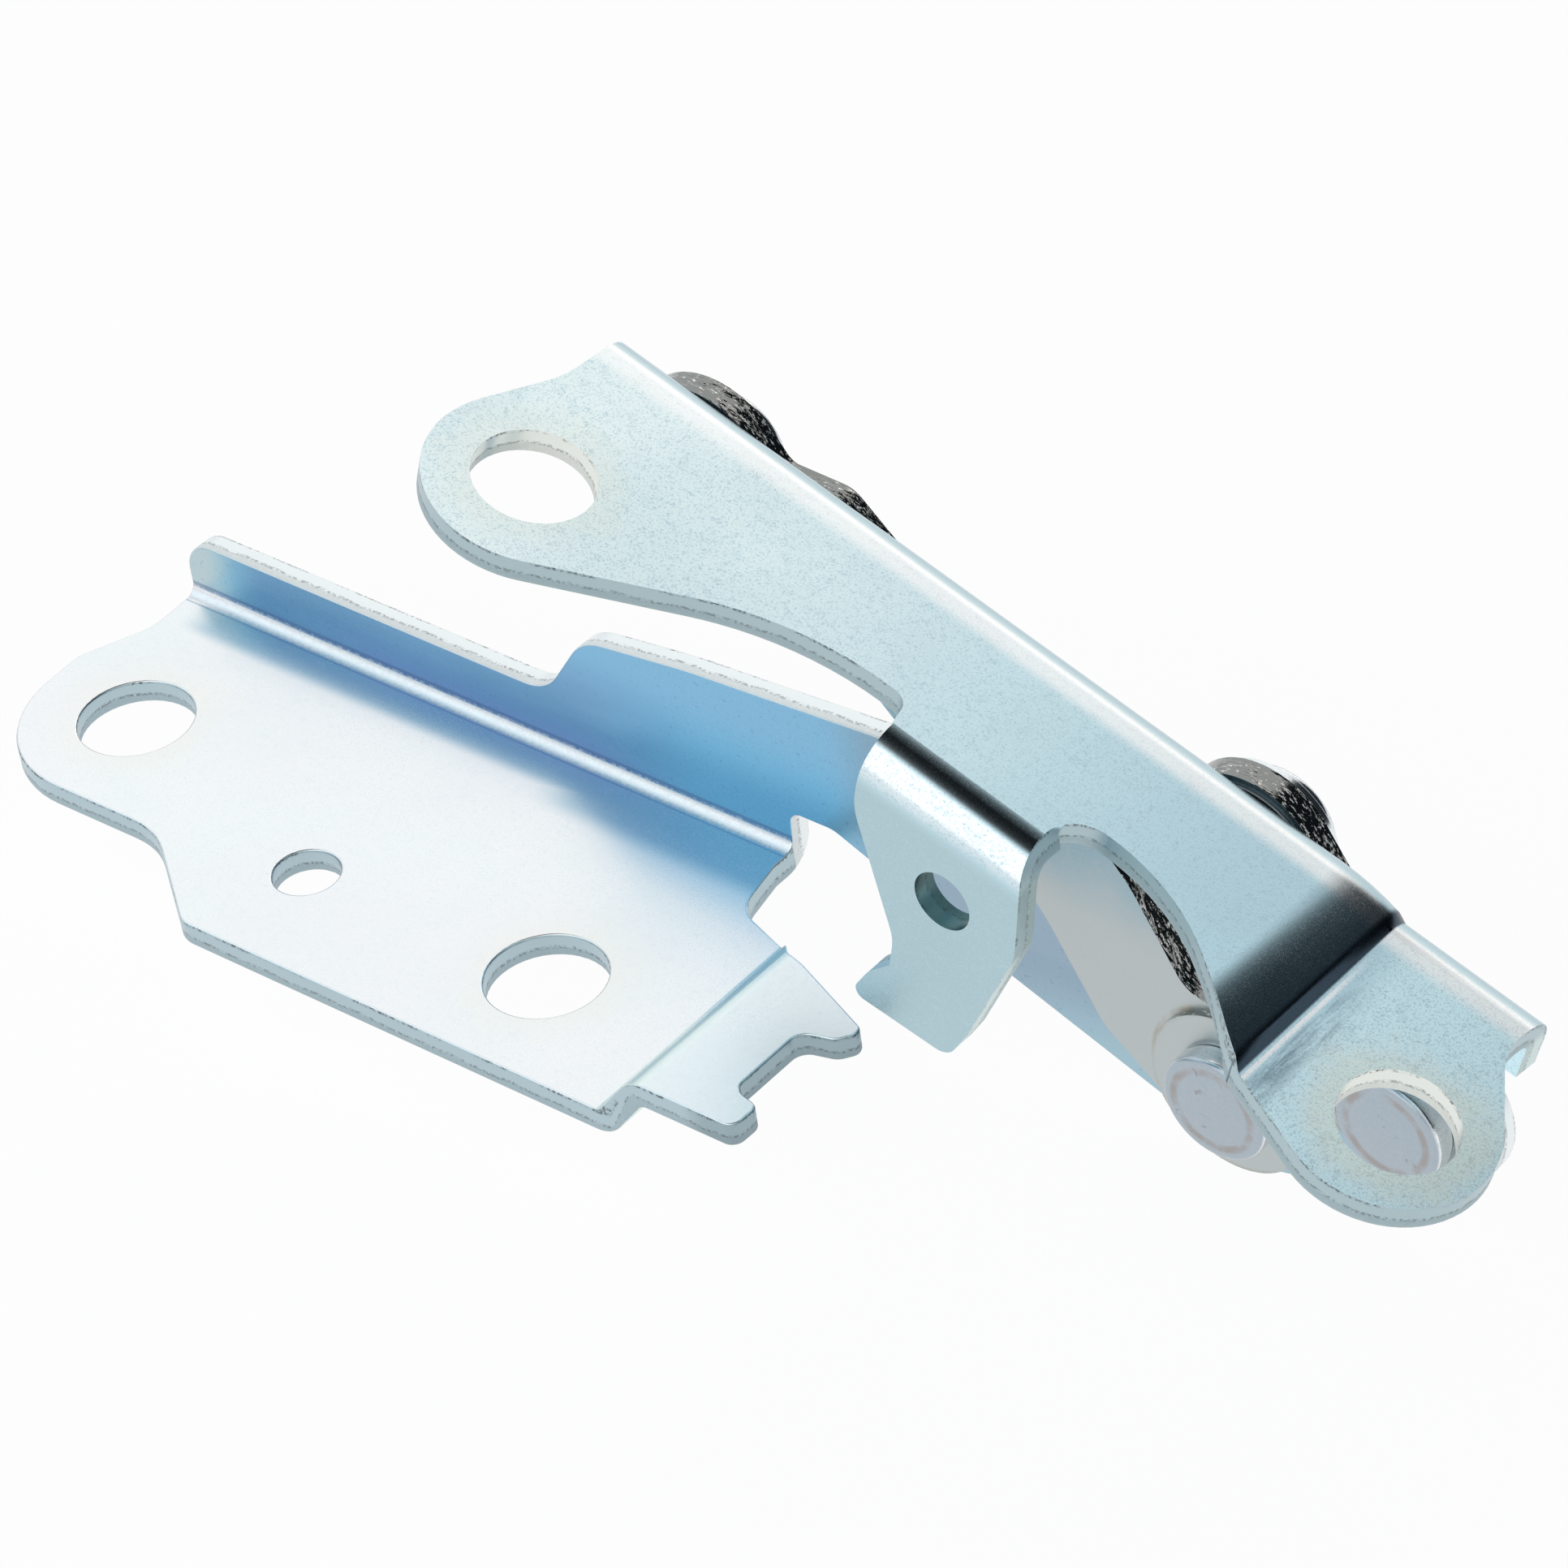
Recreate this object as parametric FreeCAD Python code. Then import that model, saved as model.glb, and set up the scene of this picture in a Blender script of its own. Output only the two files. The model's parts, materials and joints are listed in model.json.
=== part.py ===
"""Hood hinge of a car: two folded sheet brackets joined by two links on four riveted pivots.

Row frame: X runs along the fold of the lower bracket, towards the rear of the car,
Y runs across from the free edge of the base to its flange, and Z is up. The origin
lies midway between the two body bolts, on the face that rests on the body.
All sizes are in millimetres. The hinge is drawn a little above its closed position.
"""
import FreeCAD, Part
import math
import os

V = FreeCAD.Vector

# Sheet metal shared by both brackets and both links
sheet = 3.0                 # thickness of every folded or blanked piece
fold_radius = 1.5           # inside radius of the folds

# Lower bracket, plan of its base
body_hole_x = 36.4          # half the distance between the body holes, along X
body_hole_y = 4.8           # half their distance along Y; the rear one is nearer the free edge
body_hole_radius = 7.0
locating_hole = (0.9, -5.6)
locating_hole_radius = 3.95
flange_inner_y = 26.53      # near face of the upright flange
base_free_edge_y = -19.55   # at its front corner
base_edge_slant = 1.15      # by which the free edge comes in on its way to the end tab
base_front_x = -51.2        # front end, beside the front body hole
front_lobe = (0.3, 0.6)     # middle of the round end, from the front body hole
front_lobe_radius = 14.8
base_waist = (-19.5, -9.15) # corner of the base between its round end and the slanted edge
fold_front_x = -47.8        # where the fold and the flange begin
fold_rear_x = 45.9          # where the relief notch ends the fold
joggle_x = 57.4             # foot of the step up to the end tab
joggle_rise = 6.6
joggle_run = 5.3
end_tab_x = 75.7            # rear end of the end tab
end_tab_notch_depth = 3.9
end_tab_notch = (-13.4, -2.9)   # the notch lies between these two values of Y

# Lower bracket, upright flange
flange_front_top = 10.95    # top of the low front stretch
flange_step_x = 10.2        # foot of the climb
flange_step_run = 7.1
flange_mid_top = 21.0       # top just behind the climb
flange_rear_top = 25.0      # top where the arm leaves the base
arm_notch_z = 8.3           # lower edge of the arm over the relief notch
arm_root = (75.0, -1.7)     # low corner of the arm's lower edge
arm_shoulder = (85.0, 22.2) # where its upper edge starts to fall to the pivots
arm_eye_front = 9.6         # radius of the arm round the front lower pivot, above it
arm_heel = 13.4             # the same, below it
arm_tip = (-0.7, -2.6)      # middle of the round end, from the rear lower pivot
arm_tip_radius = 9.8

# Pivots, in X and Z
front_lower = (108.7, -0.8)
rear_lower = (131.5, 6.8)
front_upper = (44.0, 56.1)
rear_upper = (113.6, 34.0)

# Links
link_eye = 10.1             # radius of the eyes at the lower pivots
front_link_top_eye = 10.5   # radius of the front link's eye at its upper pivot
rear_link_top_eye = 9.3
rear_link_waist = 17.0
front_link_belly = (-24.2, 14.6)    # corner of its lower edge, from the lower pivot
front_link_back = (-26.1, 41.0)     # crest of its upper edge, from the same pivot
front_link_back_curve = 90.0
link_gap = 0.35             # from the links to the lower flange, filled by bush collars
hood_gap = 0.40             # from the links to the upper flange, likewise

# Upper bracket, in its own frame: x along its fold, z square to it, origin on the rear pivot
plate_pitch = 19.5          # the plate falls towards the rear by this many degrees
plate_lean = 4.0            # and towards its flange by this many
plate_over_pivot = 10.6     # height of the plate's top over the rear pivot, at the flange
hood_front_hole = (-77.2, -1.6)
hood_front_hole_radius = 6.7
hood_rear_hole = (33.9, -0.3)
hood_rear_hole_radius = 6.4
lug_radius = 12.2           # round the front hood hole
lug_neck = (-46.1, 3.9)     # hollow of the edge between the lug and the tab
plate_front_x = -84.7
plate_rear_x = 36.9
pad_radius = 11.35          # round the rear hood hole
pad_hollow = (17.2, -6.4)   # hollow of the edge between the tab and the pad
pad_drop = 2.0              # the end pad lies lower than the plate by this much, at the fold
pad_lean = 1.5              # and leans less, by this many degrees
pad_ramp_x = 11.0           # where the plate begins to bend down to the pad
pad_edge_x = 18.2           # where the step turns steep
pad_edge_share = 0.55       # share of the drop that is reached there
pad_foot_x = 19.3           # foot of the step
hood_eye = 10.6             # radius of the flange round the upper pivots
hood_flange_depth = 17.0    # from the plate's top to the flange's edge, between its eyes
pad_flange_depth = 8.6      # the same at the end pad

# Side tab of the upper bracket
tab_face_y = -4.8           # outer face of the tab
tab_fold_radius = 2.0
tab_front_x = -31.0
tab_rear_x = -11.4
tab_bottom_z = -22.3
tab_waist = (-22.2, -10.4)  # its front edge over the hook
tab_hook = (-21.8, -14.6)   # inner corner of the hook
tab_hook_tip = -25.5        # front end of the hook
tab_belly = (-8.4, -0.8)    # where its rear edge bulges
tab_hole = (-17.9, -0.3)
tab_hole_radius = 3.5

# Rivets, bushes and washers
shank_radius = 4.0
head_radius = 6.6
head_height = 2.25
head_chamfer = 0.7
washer_radius = 6.4
washer_thickness = 0.7
far_washer_thickness = 1.3
land_height = 0.9           # by which the links' lower eyes stand out under the rivet heads
far_washer_radius = 8.45    # the washers of the upper pivots cover the play of the open one
tail_radius = 6.2
tail_height = 1.6
bush_wall = 1.2
bush_collar_radius = 8.4
running_play = 0.05         # radial, of a bush on its shank
face_play = 0.05            # between flat faces that turn on each other
open_pivot_play = 2.0       # radial, at the front upper pivot, where the linkage is opened

# Places that follow from the sizes above
flange_outer_y = flange_inner_y + sheet
link_far_y = flange_inner_y - link_gap
link_near_y = link_far_y - sheet
hood_outer_y = link_near_y - hood_gap
hood_inner_y = hood_outer_y - sheet
front_hole = (-body_hole_x, body_hole_y)
rear_hole = (body_hole_x, -body_hole_y)
lean = math.radians(plate_lean)
hood_margin = 3.5           # by which blocks reach past the upper bracket before they are trimmed
hood_block_front = min(plate_front_x, hood_front_hole[0] - lug_radius) - hood_margin
hood_block_rear = max(plate_rear_x, hood_rear_hole[0] + pad_radius) + hood_margin


def unit(a, b):
    """Unit vector from point a to point b, both (u, v)."""
    length = math.hypot(b[0] - a[0], b[1] - a[1])
    return (b[0] - a[0]) / length, (b[1] - a[1]) / length


def tangent_ends(a, b):
    """Ends of the straight line that leaves circle a and meets circle b.

    Each is (u, v, radius, way); way is 1 where the path turns left round it, -1 where right.
    """
    du, dv = b[0] - a[0], b[1] - a[1]
    across = b[3] * b[2] - a[3] * a[2]
    length = du * du + dv * dv
    along = math.sqrt(max(length - across * across, 0))
    tu, tv = (along * du + across * dv) / length, (along * dv - across * du) / length
    return ((a[0] + a[3] * a[2] * tv, a[1] - a[3] * a[2] * tu),
            (b[0] + b[3] * b[2] * tv, b[1] - b[3] * b[2] * tu))


def round_arc(centre, way, start, end):
    """Middle of the arc that runs round a centre from start to end."""
    first = math.atan2(start[1] - centre[1], start[0] - centre[0])
    last = math.atan2(end[1] - centre[1], end[0] - centre[0])
    sweep = way * ((way * (last - first)) % (2 * math.pi))
    radius = math.hypot(start[0] - centre[0], start[1] - centre[1])
    middle = first + sweep / 2
    return centre[0] + radius * math.cos(middle), centre[1] + radius * math.sin(middle)


def corner_arc(before, corner, after, radius):
    """Start, middle and end of the arc that rounds a corner between two points."""
    a, b = unit(corner, before), unit(corner, after)
    half = math.acos(max(-1, min(1, a[0] * b[0] + a[1] * b[1]))) / 2
    if radius == 0 or math.pi / 2 - half < 1e-4:
        return corner, None, corner
    reach = radius / math.tan(half)
    middle = unit((0, 0), (a[0] + b[0], a[1] + b[1]))
    inward = radius / math.sin(half) - radius
    return ((corner[0] + a[0] * reach, corner[1] + a[1] * reach),
            (corner[0] + middle[0] * inward, corner[1] + middle[1] * inward),
            (corner[0] + b[0] * reach, corner[1] + b[1] * reach))


def rounded_edges(stations, place, closed=True):
    """Lines and arcs along a path; place turns its (u, v) into points.

    A station is a corner (u, v, rounding), or a circle (u, v, radius, way) the path runs round.
    """
    count = len(stations)
    rings = [s if len(s) == 4 else (s[0], s[1], 0, 1) for s in stations]
    lines = [tangent_ends(rings[i], rings[(i + 1) % count]) for i in range(count)]
    arcs = []
    for i, station in enumerate(stations):
        arrive, leave = lines[i - 1], lines[i]
        if not closed and i in (0, count - 1):
            arcs.append((station[:2], None, station[:2]))
        elif len(station) == 4:
            middle = round_arc(station[:2], station[3], arrive[1], leave[0])
            arcs.append((arrive[1], middle, leave[0]))
        else:
            arcs.append(corner_arc(arrive[0], station[:2], leave[1], station[2]))
    edges = []
    for i, (start, middle, end) in enumerate(arcs):
        if middle:
            edges.append(Part.Arc(place(*start), place(*middle), place(*end)).toShape())
        if i == count - 1 and not closed:
            break
        following = arcs[(i + 1) % count][0]
        if math.hypot(following[0] - end[0], following[1] - end[1]) > 1e-6:
            edges.append(Part.LineSegment(place(*end), place(*following)).toShape())
    return edges


def prism(corners, place, along):
    """Solid of a rounded outline pushed along a vector."""
    wire = Part.Wire(rounded_edges(corners, place))
    return Part.Face(wire).extrude(along)


def plan(z):
    return lambda u, v: V(u, v, z)


def side(y):
    return lambda u, v: V(u, y, v)


def section(x):
    return lambda u, v: V(x, u, v)


def folded_face(path, thickness, inside, place):
    """Section of a sheet: path is its one side, the other lies to its left at the thickness."""
    shifted = []
    radii = [(0, 0)]
    for i in range(1, len(path) - 1):
        a = unit(path[i - 1], path[i])
        b = unit(path[i], path[i + 1])
        left_turn = a[0] * b[1] - a[1] * b[0] > 0
        radii.append((inside + thickness, inside) if left_turn else (inside, inside + thickness))
    radii.append((0, 0))
    for i, point in enumerate(path):
        a = unit(path[i - 1], point) if i else unit(point, path[1])
        b = unit(point, path[i + 1]) if i < len(path) - 1 else a
        scale = thickness / (1 + a[0] * b[0] + a[1] * b[1])
        shifted.append((point[0] - (a[1] + b[1]) * scale, point[1] + (a[0] + b[0]) * scale))
    near = rounded_edges([(p[0], p[1], r[0]) for p, r in zip(path, radii)], place, closed=False)
    back = [(p[0], p[1], r[1]) for p, r in zip(shifted, radii)][::-1]
    far = rounded_edges(back, place, closed=False)
    caps = [Part.LineSegment(place(*path[-1]), place(*shifted[-1])).toShape(),
            Part.LineSegment(place(*shifted[0]), place(*path[0])).toShape()]
    return Part.Face(Part.Wire(Part.__sortEdges__(near + far + caps)))


def round_bar(pivot, y_start, y_end, radius):
    """Cylinder on a pivot's axis between two values of Y."""
    return Part.makeCylinder(radius, y_end - y_start, V(pivot[0], y_start, pivot[1]), V(0, 1, 0))


def merge(shapes):
    """One clean solid from several that touch or overlap."""
    return shapes[0].multiFuse(shapes[1:]).removeSplitter()


def lower_base():
    """Base plate with the step up to its end tab, cut to its outline."""
    fold_y = flange_inner_y - fold_radius
    top_x = joggle_x + joggle_run
    step = folded_face([(base_front_x - 5, 0), (joggle_x, 0), (top_x, joggle_rise),
                        (end_tab_x + 5, joggle_rise)], sheet, fold_radius, side(base_free_edge_y - 5))
    slab = step.extrude(V(0, fold_y - base_free_edge_y + 5, 0))
    notch_low, notch_high = end_tab_notch
    notch_x = end_tab_x - end_tab_notch_depth
    outline = [
        (fold_front_x, fold_y, 0), (fold_front_x + 0.4, 19.0, 8.0), (base_front_x, 10.0, 5.0),
        (front_hole[0] + front_lobe[0], front_hole[1] + front_lobe[1], front_lobe_radius, 1),
        (base_waist[0], base_waist[1], 11.0), (-5.5, base_free_edge_y, 3.5),
        (end_tab_x - 0.1, base_free_edge_y + base_edge_slant, 1.6), (end_tab_x, notch_low - 0.8, 1.3),
        (notch_x, notch_low, 1.7), (notch_x, notch_high, 1.9), (end_tab_x + 0.2, notch_high + 1.1, 2.2),
        (end_tab_x + 2.2, 0.9, 1.3), (65.0, 6.1, 6.0), (joggle_x + joggle_run - 0.6, 6.9, 3.0),
        (joggle_x - 0.7, 12.4, 4.0), (fold_rear_x + 1.6, 15.4, 4.6), (fold_rear_x, fold_y - 2, 0),
        (fold_rear_x, fold_y, 0)]
    base = slab.common(prism(outline, plan(-1), V(0, 0, joggle_rise + sheet + 2)))
    for hole, radius in ((front_hole, body_hole_radius), (rear_hole, body_hole_radius),
                         (locating_hole, locating_hole_radius)):
        base = base.cut(Part.makeCylinder(radius, sheet + 2, V(hole[0], hole[1], -1)))
    return base


def lower_fold():
    """Quarter turn of sheet between the base and the flange."""
    centre_y = flange_inner_y - fold_radius
    centre_z = sheet + fold_radius
    outer = fold_radius + sheet
    length = fold_rear_x - fold_front_x
    tube = Part.makeCylinder(outer, length, V(fold_front_x, centre_y, centre_z), V(1, 0, 0))
    tube = tube.cut(Part.makeCylinder(fold_radius, length, V(fold_front_x, centre_y, centre_z),
                                      V(1, 0, 0)))
    corner = Part.makeBox(length, outer, outer, V(fold_front_x, centre_y, 0))
    return tube.common(corner)


def lower_flange():
    """Upright flange that runs on past the base as an arm to the two lower pivots."""
    root_z = sheet + fold_radius
    x1, z1 = front_lower
    x2, z2 = rear_lower
    outline = [
        (fold_rear_x, root_z, 0), (fold_rear_x + 0.2, arm_notch_z, 1.6), (52.2, arm_notch_z, 4.0),
        (arm_root[0], arm_root[1], 60.0), (x1, z1, arm_heel, 1),
        (x2 + arm_tip[0], z2 + arm_tip[1], arm_tip_radius, 1),
        (x1 + 7.5, z1 + arm_eye_front - 0.8, 2.4), (x1, z1, arm_eye_front, 1),
        (x1 - 8.3, z1 + arm_eye_front - 0.8, 5.0), (arm_shoulder[0], arm_shoulder[1], 14.0),
        (62.5, flange_rear_top, 30.0), (33.0, (flange_mid_top + flange_rear_top) / 2, 80.0),
        (flange_step_x + flange_step_run, flange_mid_top, 7.0),
        (flange_step_x, flange_front_top, 6.5), (fold_front_x, flange_front_top, 4.5),
        (fold_front_x, root_z, 0)]
    plate = prism(outline, side(flange_inner_y), V(0, sheet, 0))
    for pivot in (front_lower, rear_lower):
        plate = plate.cut(round_bar(pivot, flange_inner_y - 1, flange_outer_y + 1, shank_radius))
    return plate


def lower_bracket():
    """Base, fold and flange, folded from one sheet."""
    return merge([lower_base(), lower_fold(), lower_flange()])


def plate_top(y, share=0):
    """Height of the upper bracket's plate over the rear pivot, in its own frame.

    A share of 0 is the plate itself, 1 its end pad, and values between lie on the step.
    """
    tilt = lean + share * (math.radians(pad_lean) - lean)
    return plate_over_pivot - share * pad_drop + (hood_outer_y - y) * math.tan(tilt)


def step_places(inset):
    """(x, share) along the step down to the pad.

    The underside takes the same step a little earlier, so that the sheet keeps its thickness.
    """
    drop = plate_top(0) - plate_top(0, 1)
    gentle = math.atan(2 * pad_edge_share * drop / (pad_edge_x - pad_ramp_x))
    steep = math.atan((1 - pad_edge_share) * drop / (pad_foot_x - pad_edge_x))
    stretch = inset / math.cos((steep - gentle) / 2)
    turn = (steep + gentle) / 2
    edge_x = pad_edge_x - stretch * math.sin(turn)
    edge_share = pad_edge_share + (stretch * math.cos(turn) - inset) / drop
    count = 4
    places = []
    for i in range(count + 1):
        part = i / count
        places.append((pad_ramp_x + (edge_x - pad_ramp_x) * part, edge_share * part * part))
    return places + [(pad_foot_x - inset * math.tan(steep / 2), 1)]


def hood_form(inset):
    """Block under the upper bracket's outside; with an inset, the block under its inside."""
    near_y = tab_face_y - 13 - inset
    deep = tab_bottom_z - inset
    face_y = hood_outer_y - inset
    rounding = fold_radius + sheet - inset
    places = step_places(inset)
    wires = []
    for x, share in places:
        top, corner = plate_top(near_y, share) - inset, plate_top(face_y, share) - inset
        wires.append(Part.Wire(rounded_edges(
            [(near_y, deep, 0), (face_y, deep, 0), (face_y, corner, rounding), (near_y, top, 0)],
            section(x))))
    front = Part.Face(wires[0]).extrude(V(hood_block_front - places[0][0], 0, 0))
    rear = Part.Face(wires[-1]).extrude(V(hood_block_rear - places[-1][0], 0, 0))
    return merge([front, Part.makeLoft(wires, True, True), rear])


def hood_plan():
    """Outline of plate and pad seen square to the plate, without the side tab."""
    bend_y = tab_face_y + tab_fold_radius + sheet
    lug_x, lug_y = hood_front_hole
    pad_x, pad_y = hood_rear_hole
    far = hood_outer_y + 1
    return [
        (plate_front_x, far, 0), (plate_front_x - 0.1, 12.0, 12.0),
        (lug_x + 0.4, lug_y + 0.1, lug_radius, 1), (lug_neck[0], lug_neck[1], 38.0),
        (tab_front_x - 0.9, lug_neck[1], 2.2), (tab_front_x, bend_y, 0), (tab_rear_x, bend_y, 0),
        (tab_rear_x, bend_y + 4.75, 4.4), (1.8, bend_y + 4.75, 26.0),
        (pad_hollow[0], pad_hollow[1], 20.0), (pad_x - 1.1, pad_y + 0.1, pad_radius, 1),
        (plate_rear_x - 0.8, pad_y + 15.2, 7.0), (plate_rear_x, far, 0)]


def hood_flange_waste():
    """What is cut from under the plate to leave the flange, and the place of its front eye."""
    pitch = math.radians(plate_pitch)
    run, rise = front_upper[0] - rear_upper[0], front_upper[1] - rear_upper[1]
    eye_x = run * math.cos(pitch) - rise * math.sin(pitch)
    eye_z = run * math.sin(pitch) + rise * math.cos(pitch)
    edge = plate_over_pivot - hood_flange_depth
    pad_edge = plate_over_pivot - pad_drop - pad_flange_depth
    start = hood_inner_y - fold_radius - 1
    depth = V(0, hood_outer_y + 1 - start, 0)
    clear = hood_eye + 2.4
    front_x = hood_block_front
    keep = prism([
        (front_x, plate_over_pivot, 0), (front_x, eye_z + 3, 3.0), (eye_x, eye_z, hood_eye, 1),
        (eye_x + clear, edge, 9.0), (-clear, edge, 9.0), (0, 0, hood_eye, 1),
        (clear + 2, pad_edge, 8.0), (hood_block_rear, pad_edge, 0),
        (hood_block_rear, plate_over_pivot, 0)],
        side(start), depth)
    low_z = tab_bottom_z - 4
    block = Part.makeBox(hood_block_rear - front_x, depth.y, plate_over_pivot - sheet - low_z,
                         V(front_x, start, low_z))
    return block.cut(keep), (eye_x, eye_z)


def side_tab():
    """Tab folded down from the free edge of the plate, with its hook and hole."""
    inside = tab_face_y + sheet
    top = plate_top(tab_face_y)
    bend_y = inside + tab_fold_radius
    root_y = bend_y + 2.0
    upright = sheet / math.cos(lean)
    outer = tab_fold_radius + sheet
    length = V(tab_rear_x - tab_front_x + 7, 0, 0)
    x = tab_front_x - 3
    edges = rounded_edges([(root_y, plate_top(root_y), 0), (tab_face_y, top, outer),
                           (tab_face_y, tab_bottom_z - 3, 0)], section(x), closed=False)
    edges += rounded_edges([(inside, tab_bottom_z - 3, 0),
                            (inside, plate_top(inside) - upright, tab_fold_radius),
                            (root_y, plate_top(root_y) - upright, 0)], section(x), closed=False)
    edges += [Part.LineSegment(V(x, tab_face_y, tab_bottom_z - 3),
                               V(x, inside, tab_bottom_z - 3)).toShape(),
              Part.LineSegment(V(x, root_y, plate_top(root_y) - upright),
                               V(x, root_y, plate_top(root_y))).toShape()]
    strip = Part.Face(Part.Wire(Part.__sortEdges__(edges))).extrude(length)
    outline = [
        (tab_front_x, top + 2, 0), (tab_front_x + 0.6, 3.7, 8.0), (tab_waist[0], tab_waist[1], 6.0),
        (tab_hook[0], tab_hook[1], 0.5), (tab_hook_tip + 1.5, tab_hook[1] - 3.0, 5.0),
        (tab_hook_tip, tab_bottom_z, 1.2), (tab_rear_x - 1.2, tab_bottom_z + 1.0, 2.4),
        (tab_rear_x + 0.2, tab_bottom_z + 5.9, 6.0), (tab_belly[0], tab_belly[1], 7.0),
        (tab_rear_x + 1.6, 8.0, 5.0), (tab_rear_x - 0.9, top + 2, 0)]
    tab = strip.common(prism(outline, side(tab_face_y - 1), V(0, root_y - tab_face_y + 2, 0)))
    hole = Part.makeCylinder(tab_hole_radius, sheet + 2,
                             V(tab_hole[0], tab_face_y - 1, tab_hole[1]), V(0, 1, 0))
    return tab.cut(hole)


def upper_bracket():
    """Plate, flange and side tab, folded from one sheet and turned to the rest position."""
    channel = hood_form(0).cut(hood_form(sheet))
    reach = V(0, 0, 60)
    sheet_body = channel.common(prism(hood_plan(), plan(tab_bottom_z - 5), reach))
    waste, front_eye = hood_flange_waste()
    sheet_body = sheet_body.cut(waste)
    bracket = merge([sheet_body, side_tab()])
    for hole, radius, share, tilt in ((hood_front_hole, hood_front_hole_radius, 0, lean),
                                      (hood_rear_hole, hood_rear_hole_radius, 1,
                                       math.radians(pad_lean))):
        axis = V(0, math.sin(tilt), math.cos(tilt))
        foot = V(hole[0], hole[1], plate_top(hole[1], share)) - axis * 2 * sheet
        bracket = bracket.cut(Part.makeCylinder(radius, 3 * sheet, foot, axis))
    for eye in (front_eye, (0, 0)):
        bracket = bracket.cut(round_bar(eye, hood_inner_y - 1, hood_outer_y + 1, shank_radius))
    bracket.rotate(V(0, 0, 0), V(0, 1, 0), plate_pitch)
    bracket.translate(V(rear_upper[0], 0, rear_upper[1]))
    return bracket


def bush_outer(play):
    return shank_radius + play + bush_wall


def finish_link(link, low_pivot, seats):
    """Raise the eye round a link's lower pivot and bore its bush seats."""
    land = round_bar(low_pivot, link_near_y - land_height, link_near_y + sheet / 2, link_eye)
    link = merge([link, land])
    for pivot, play in seats:
        bore = round_bar(pivot, link_near_y - land_height - 1, link_far_y + 1, bush_outer(play))
        link = link.cut(bore)
    return link


def front_link():
    """Long bent link from the front lower pivot up to the front upper one."""
    top_x, top_z = front_upper
    low_x, low_z = front_lower
    outline = [
        (top_x, top_z, front_link_top_eye, 1), (top_x + 11.6, top_z - 12.2, 10.0),
        (low_x + front_link_belly[0], low_z + front_link_belly[1], 20.0),
        (low_x - 17.1, low_z + 1.4, 4.0), (low_x, low_z, link_eye, 1),
        (low_x - 5.3, low_z + link_eye + 1.4, 4.0), (low_x - 11.5, low_z + 23.0, 14.0),
        (low_x + front_link_back[0], low_z + front_link_back[1], front_link_back_curve),
        (top_x + 18.8, top_z + 2.9, 3.4), (top_x + 10.6, top_z + 3.3, 2.0)]
    link = prism(outline, side(link_near_y), V(0, sheet, 0))
    return finish_link(link, front_lower, [(front_lower, running_play),
                                           (front_upper, open_pivot_play)])


def rear_link():
    """Short link from the rear lower pivot up to the rear upper one."""
    length = math.hypot(rear_upper[0] - rear_lower[0], rear_upper[1] - rear_lower[1])
    waist = rear_link_waist / 2
    outline = [(0, 0, link_eye, 1), (length / 2, -waist, 40.0), (length, 0, rear_link_top_eye, 1),
               (length / 2, waist, 40.0)]
    along = unit(rear_lower, rear_upper)

    def place(u, v):
        return V(rear_lower[0] + along[0] * u - along[1] * v, link_near_y,
                 rear_lower[1] + along[1] * u + along[0] * v)

    link = prism(outline, place, V(0, sheet, 0))
    return finish_link(link, rear_lower, [(rear_lower, running_play), (rear_upper, running_play)])


def bush(pivot, play, collar_side, gap):
    """Bush pressed into a link, with a thin collar that keeps the link off its bracket."""
    outer = bush_outer(play)
    low = link_near_y - land_height if collar_side > 0 else link_near_y
    body = round_bar(pivot, low, link_far_y, outer)
    thickness = gap - face_play
    start = link_far_y if collar_side > 0 else link_near_y - thickness
    collar = round_bar(pivot, start, start + thickness, max(bush_collar_radius, outer + 1))
    bore = round_bar(pivot, low - 1, link_far_y + 1, shank_radius + play)
    return body.fuse(collar).removeSplitter().cut(bore)


def washer(pivot, y_start, radius, thickness):
    """Flat washer under a rivet head."""
    disc = round_bar(pivot, y_start, y_start + thickness, radius)
    return disc.cut(round_bar(pivot, y_start - 1, y_start + thickness + 1, shank_radius))


def rivet(pivot, head_y, tail_y):
    """Shouldered rivet: head face at head_y, upset tail outside tail_y."""
    way = 1 if tail_y > head_y else -1
    span = abs(tail_y - head_y)
    dome = 0.5
    profile = [(0, 0), (head_radius - head_chamfer, 0), (head_radius, head_chamfer),
               (head_radius, head_height), (shank_radius, head_height), (shank_radius, span),
               (tail_radius, span), (tail_radius - dome, span + tail_height), (0, span + tail_height)]
    points = [V(pivot[0] + radius, head_y + way * depth, pivot[1]) for radius, depth in profile]
    face = Part.Face(Part.makePolygon(points + points[:1]))
    return face.revolve(V(pivot[0], 0, pivot[1]), V(0, 1, 0), 360)


def pivot_sets():
    """Name, pivot, play, and side of the head for each of the four pivots."""
    return [("front_lower", front_lower, running_play, -1), ("rear_lower", rear_lower, running_play, -1),
            ("front_upper", front_upper, open_pivot_play, 1), ("rear_upper", rear_upper, running_play, 1)]


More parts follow.
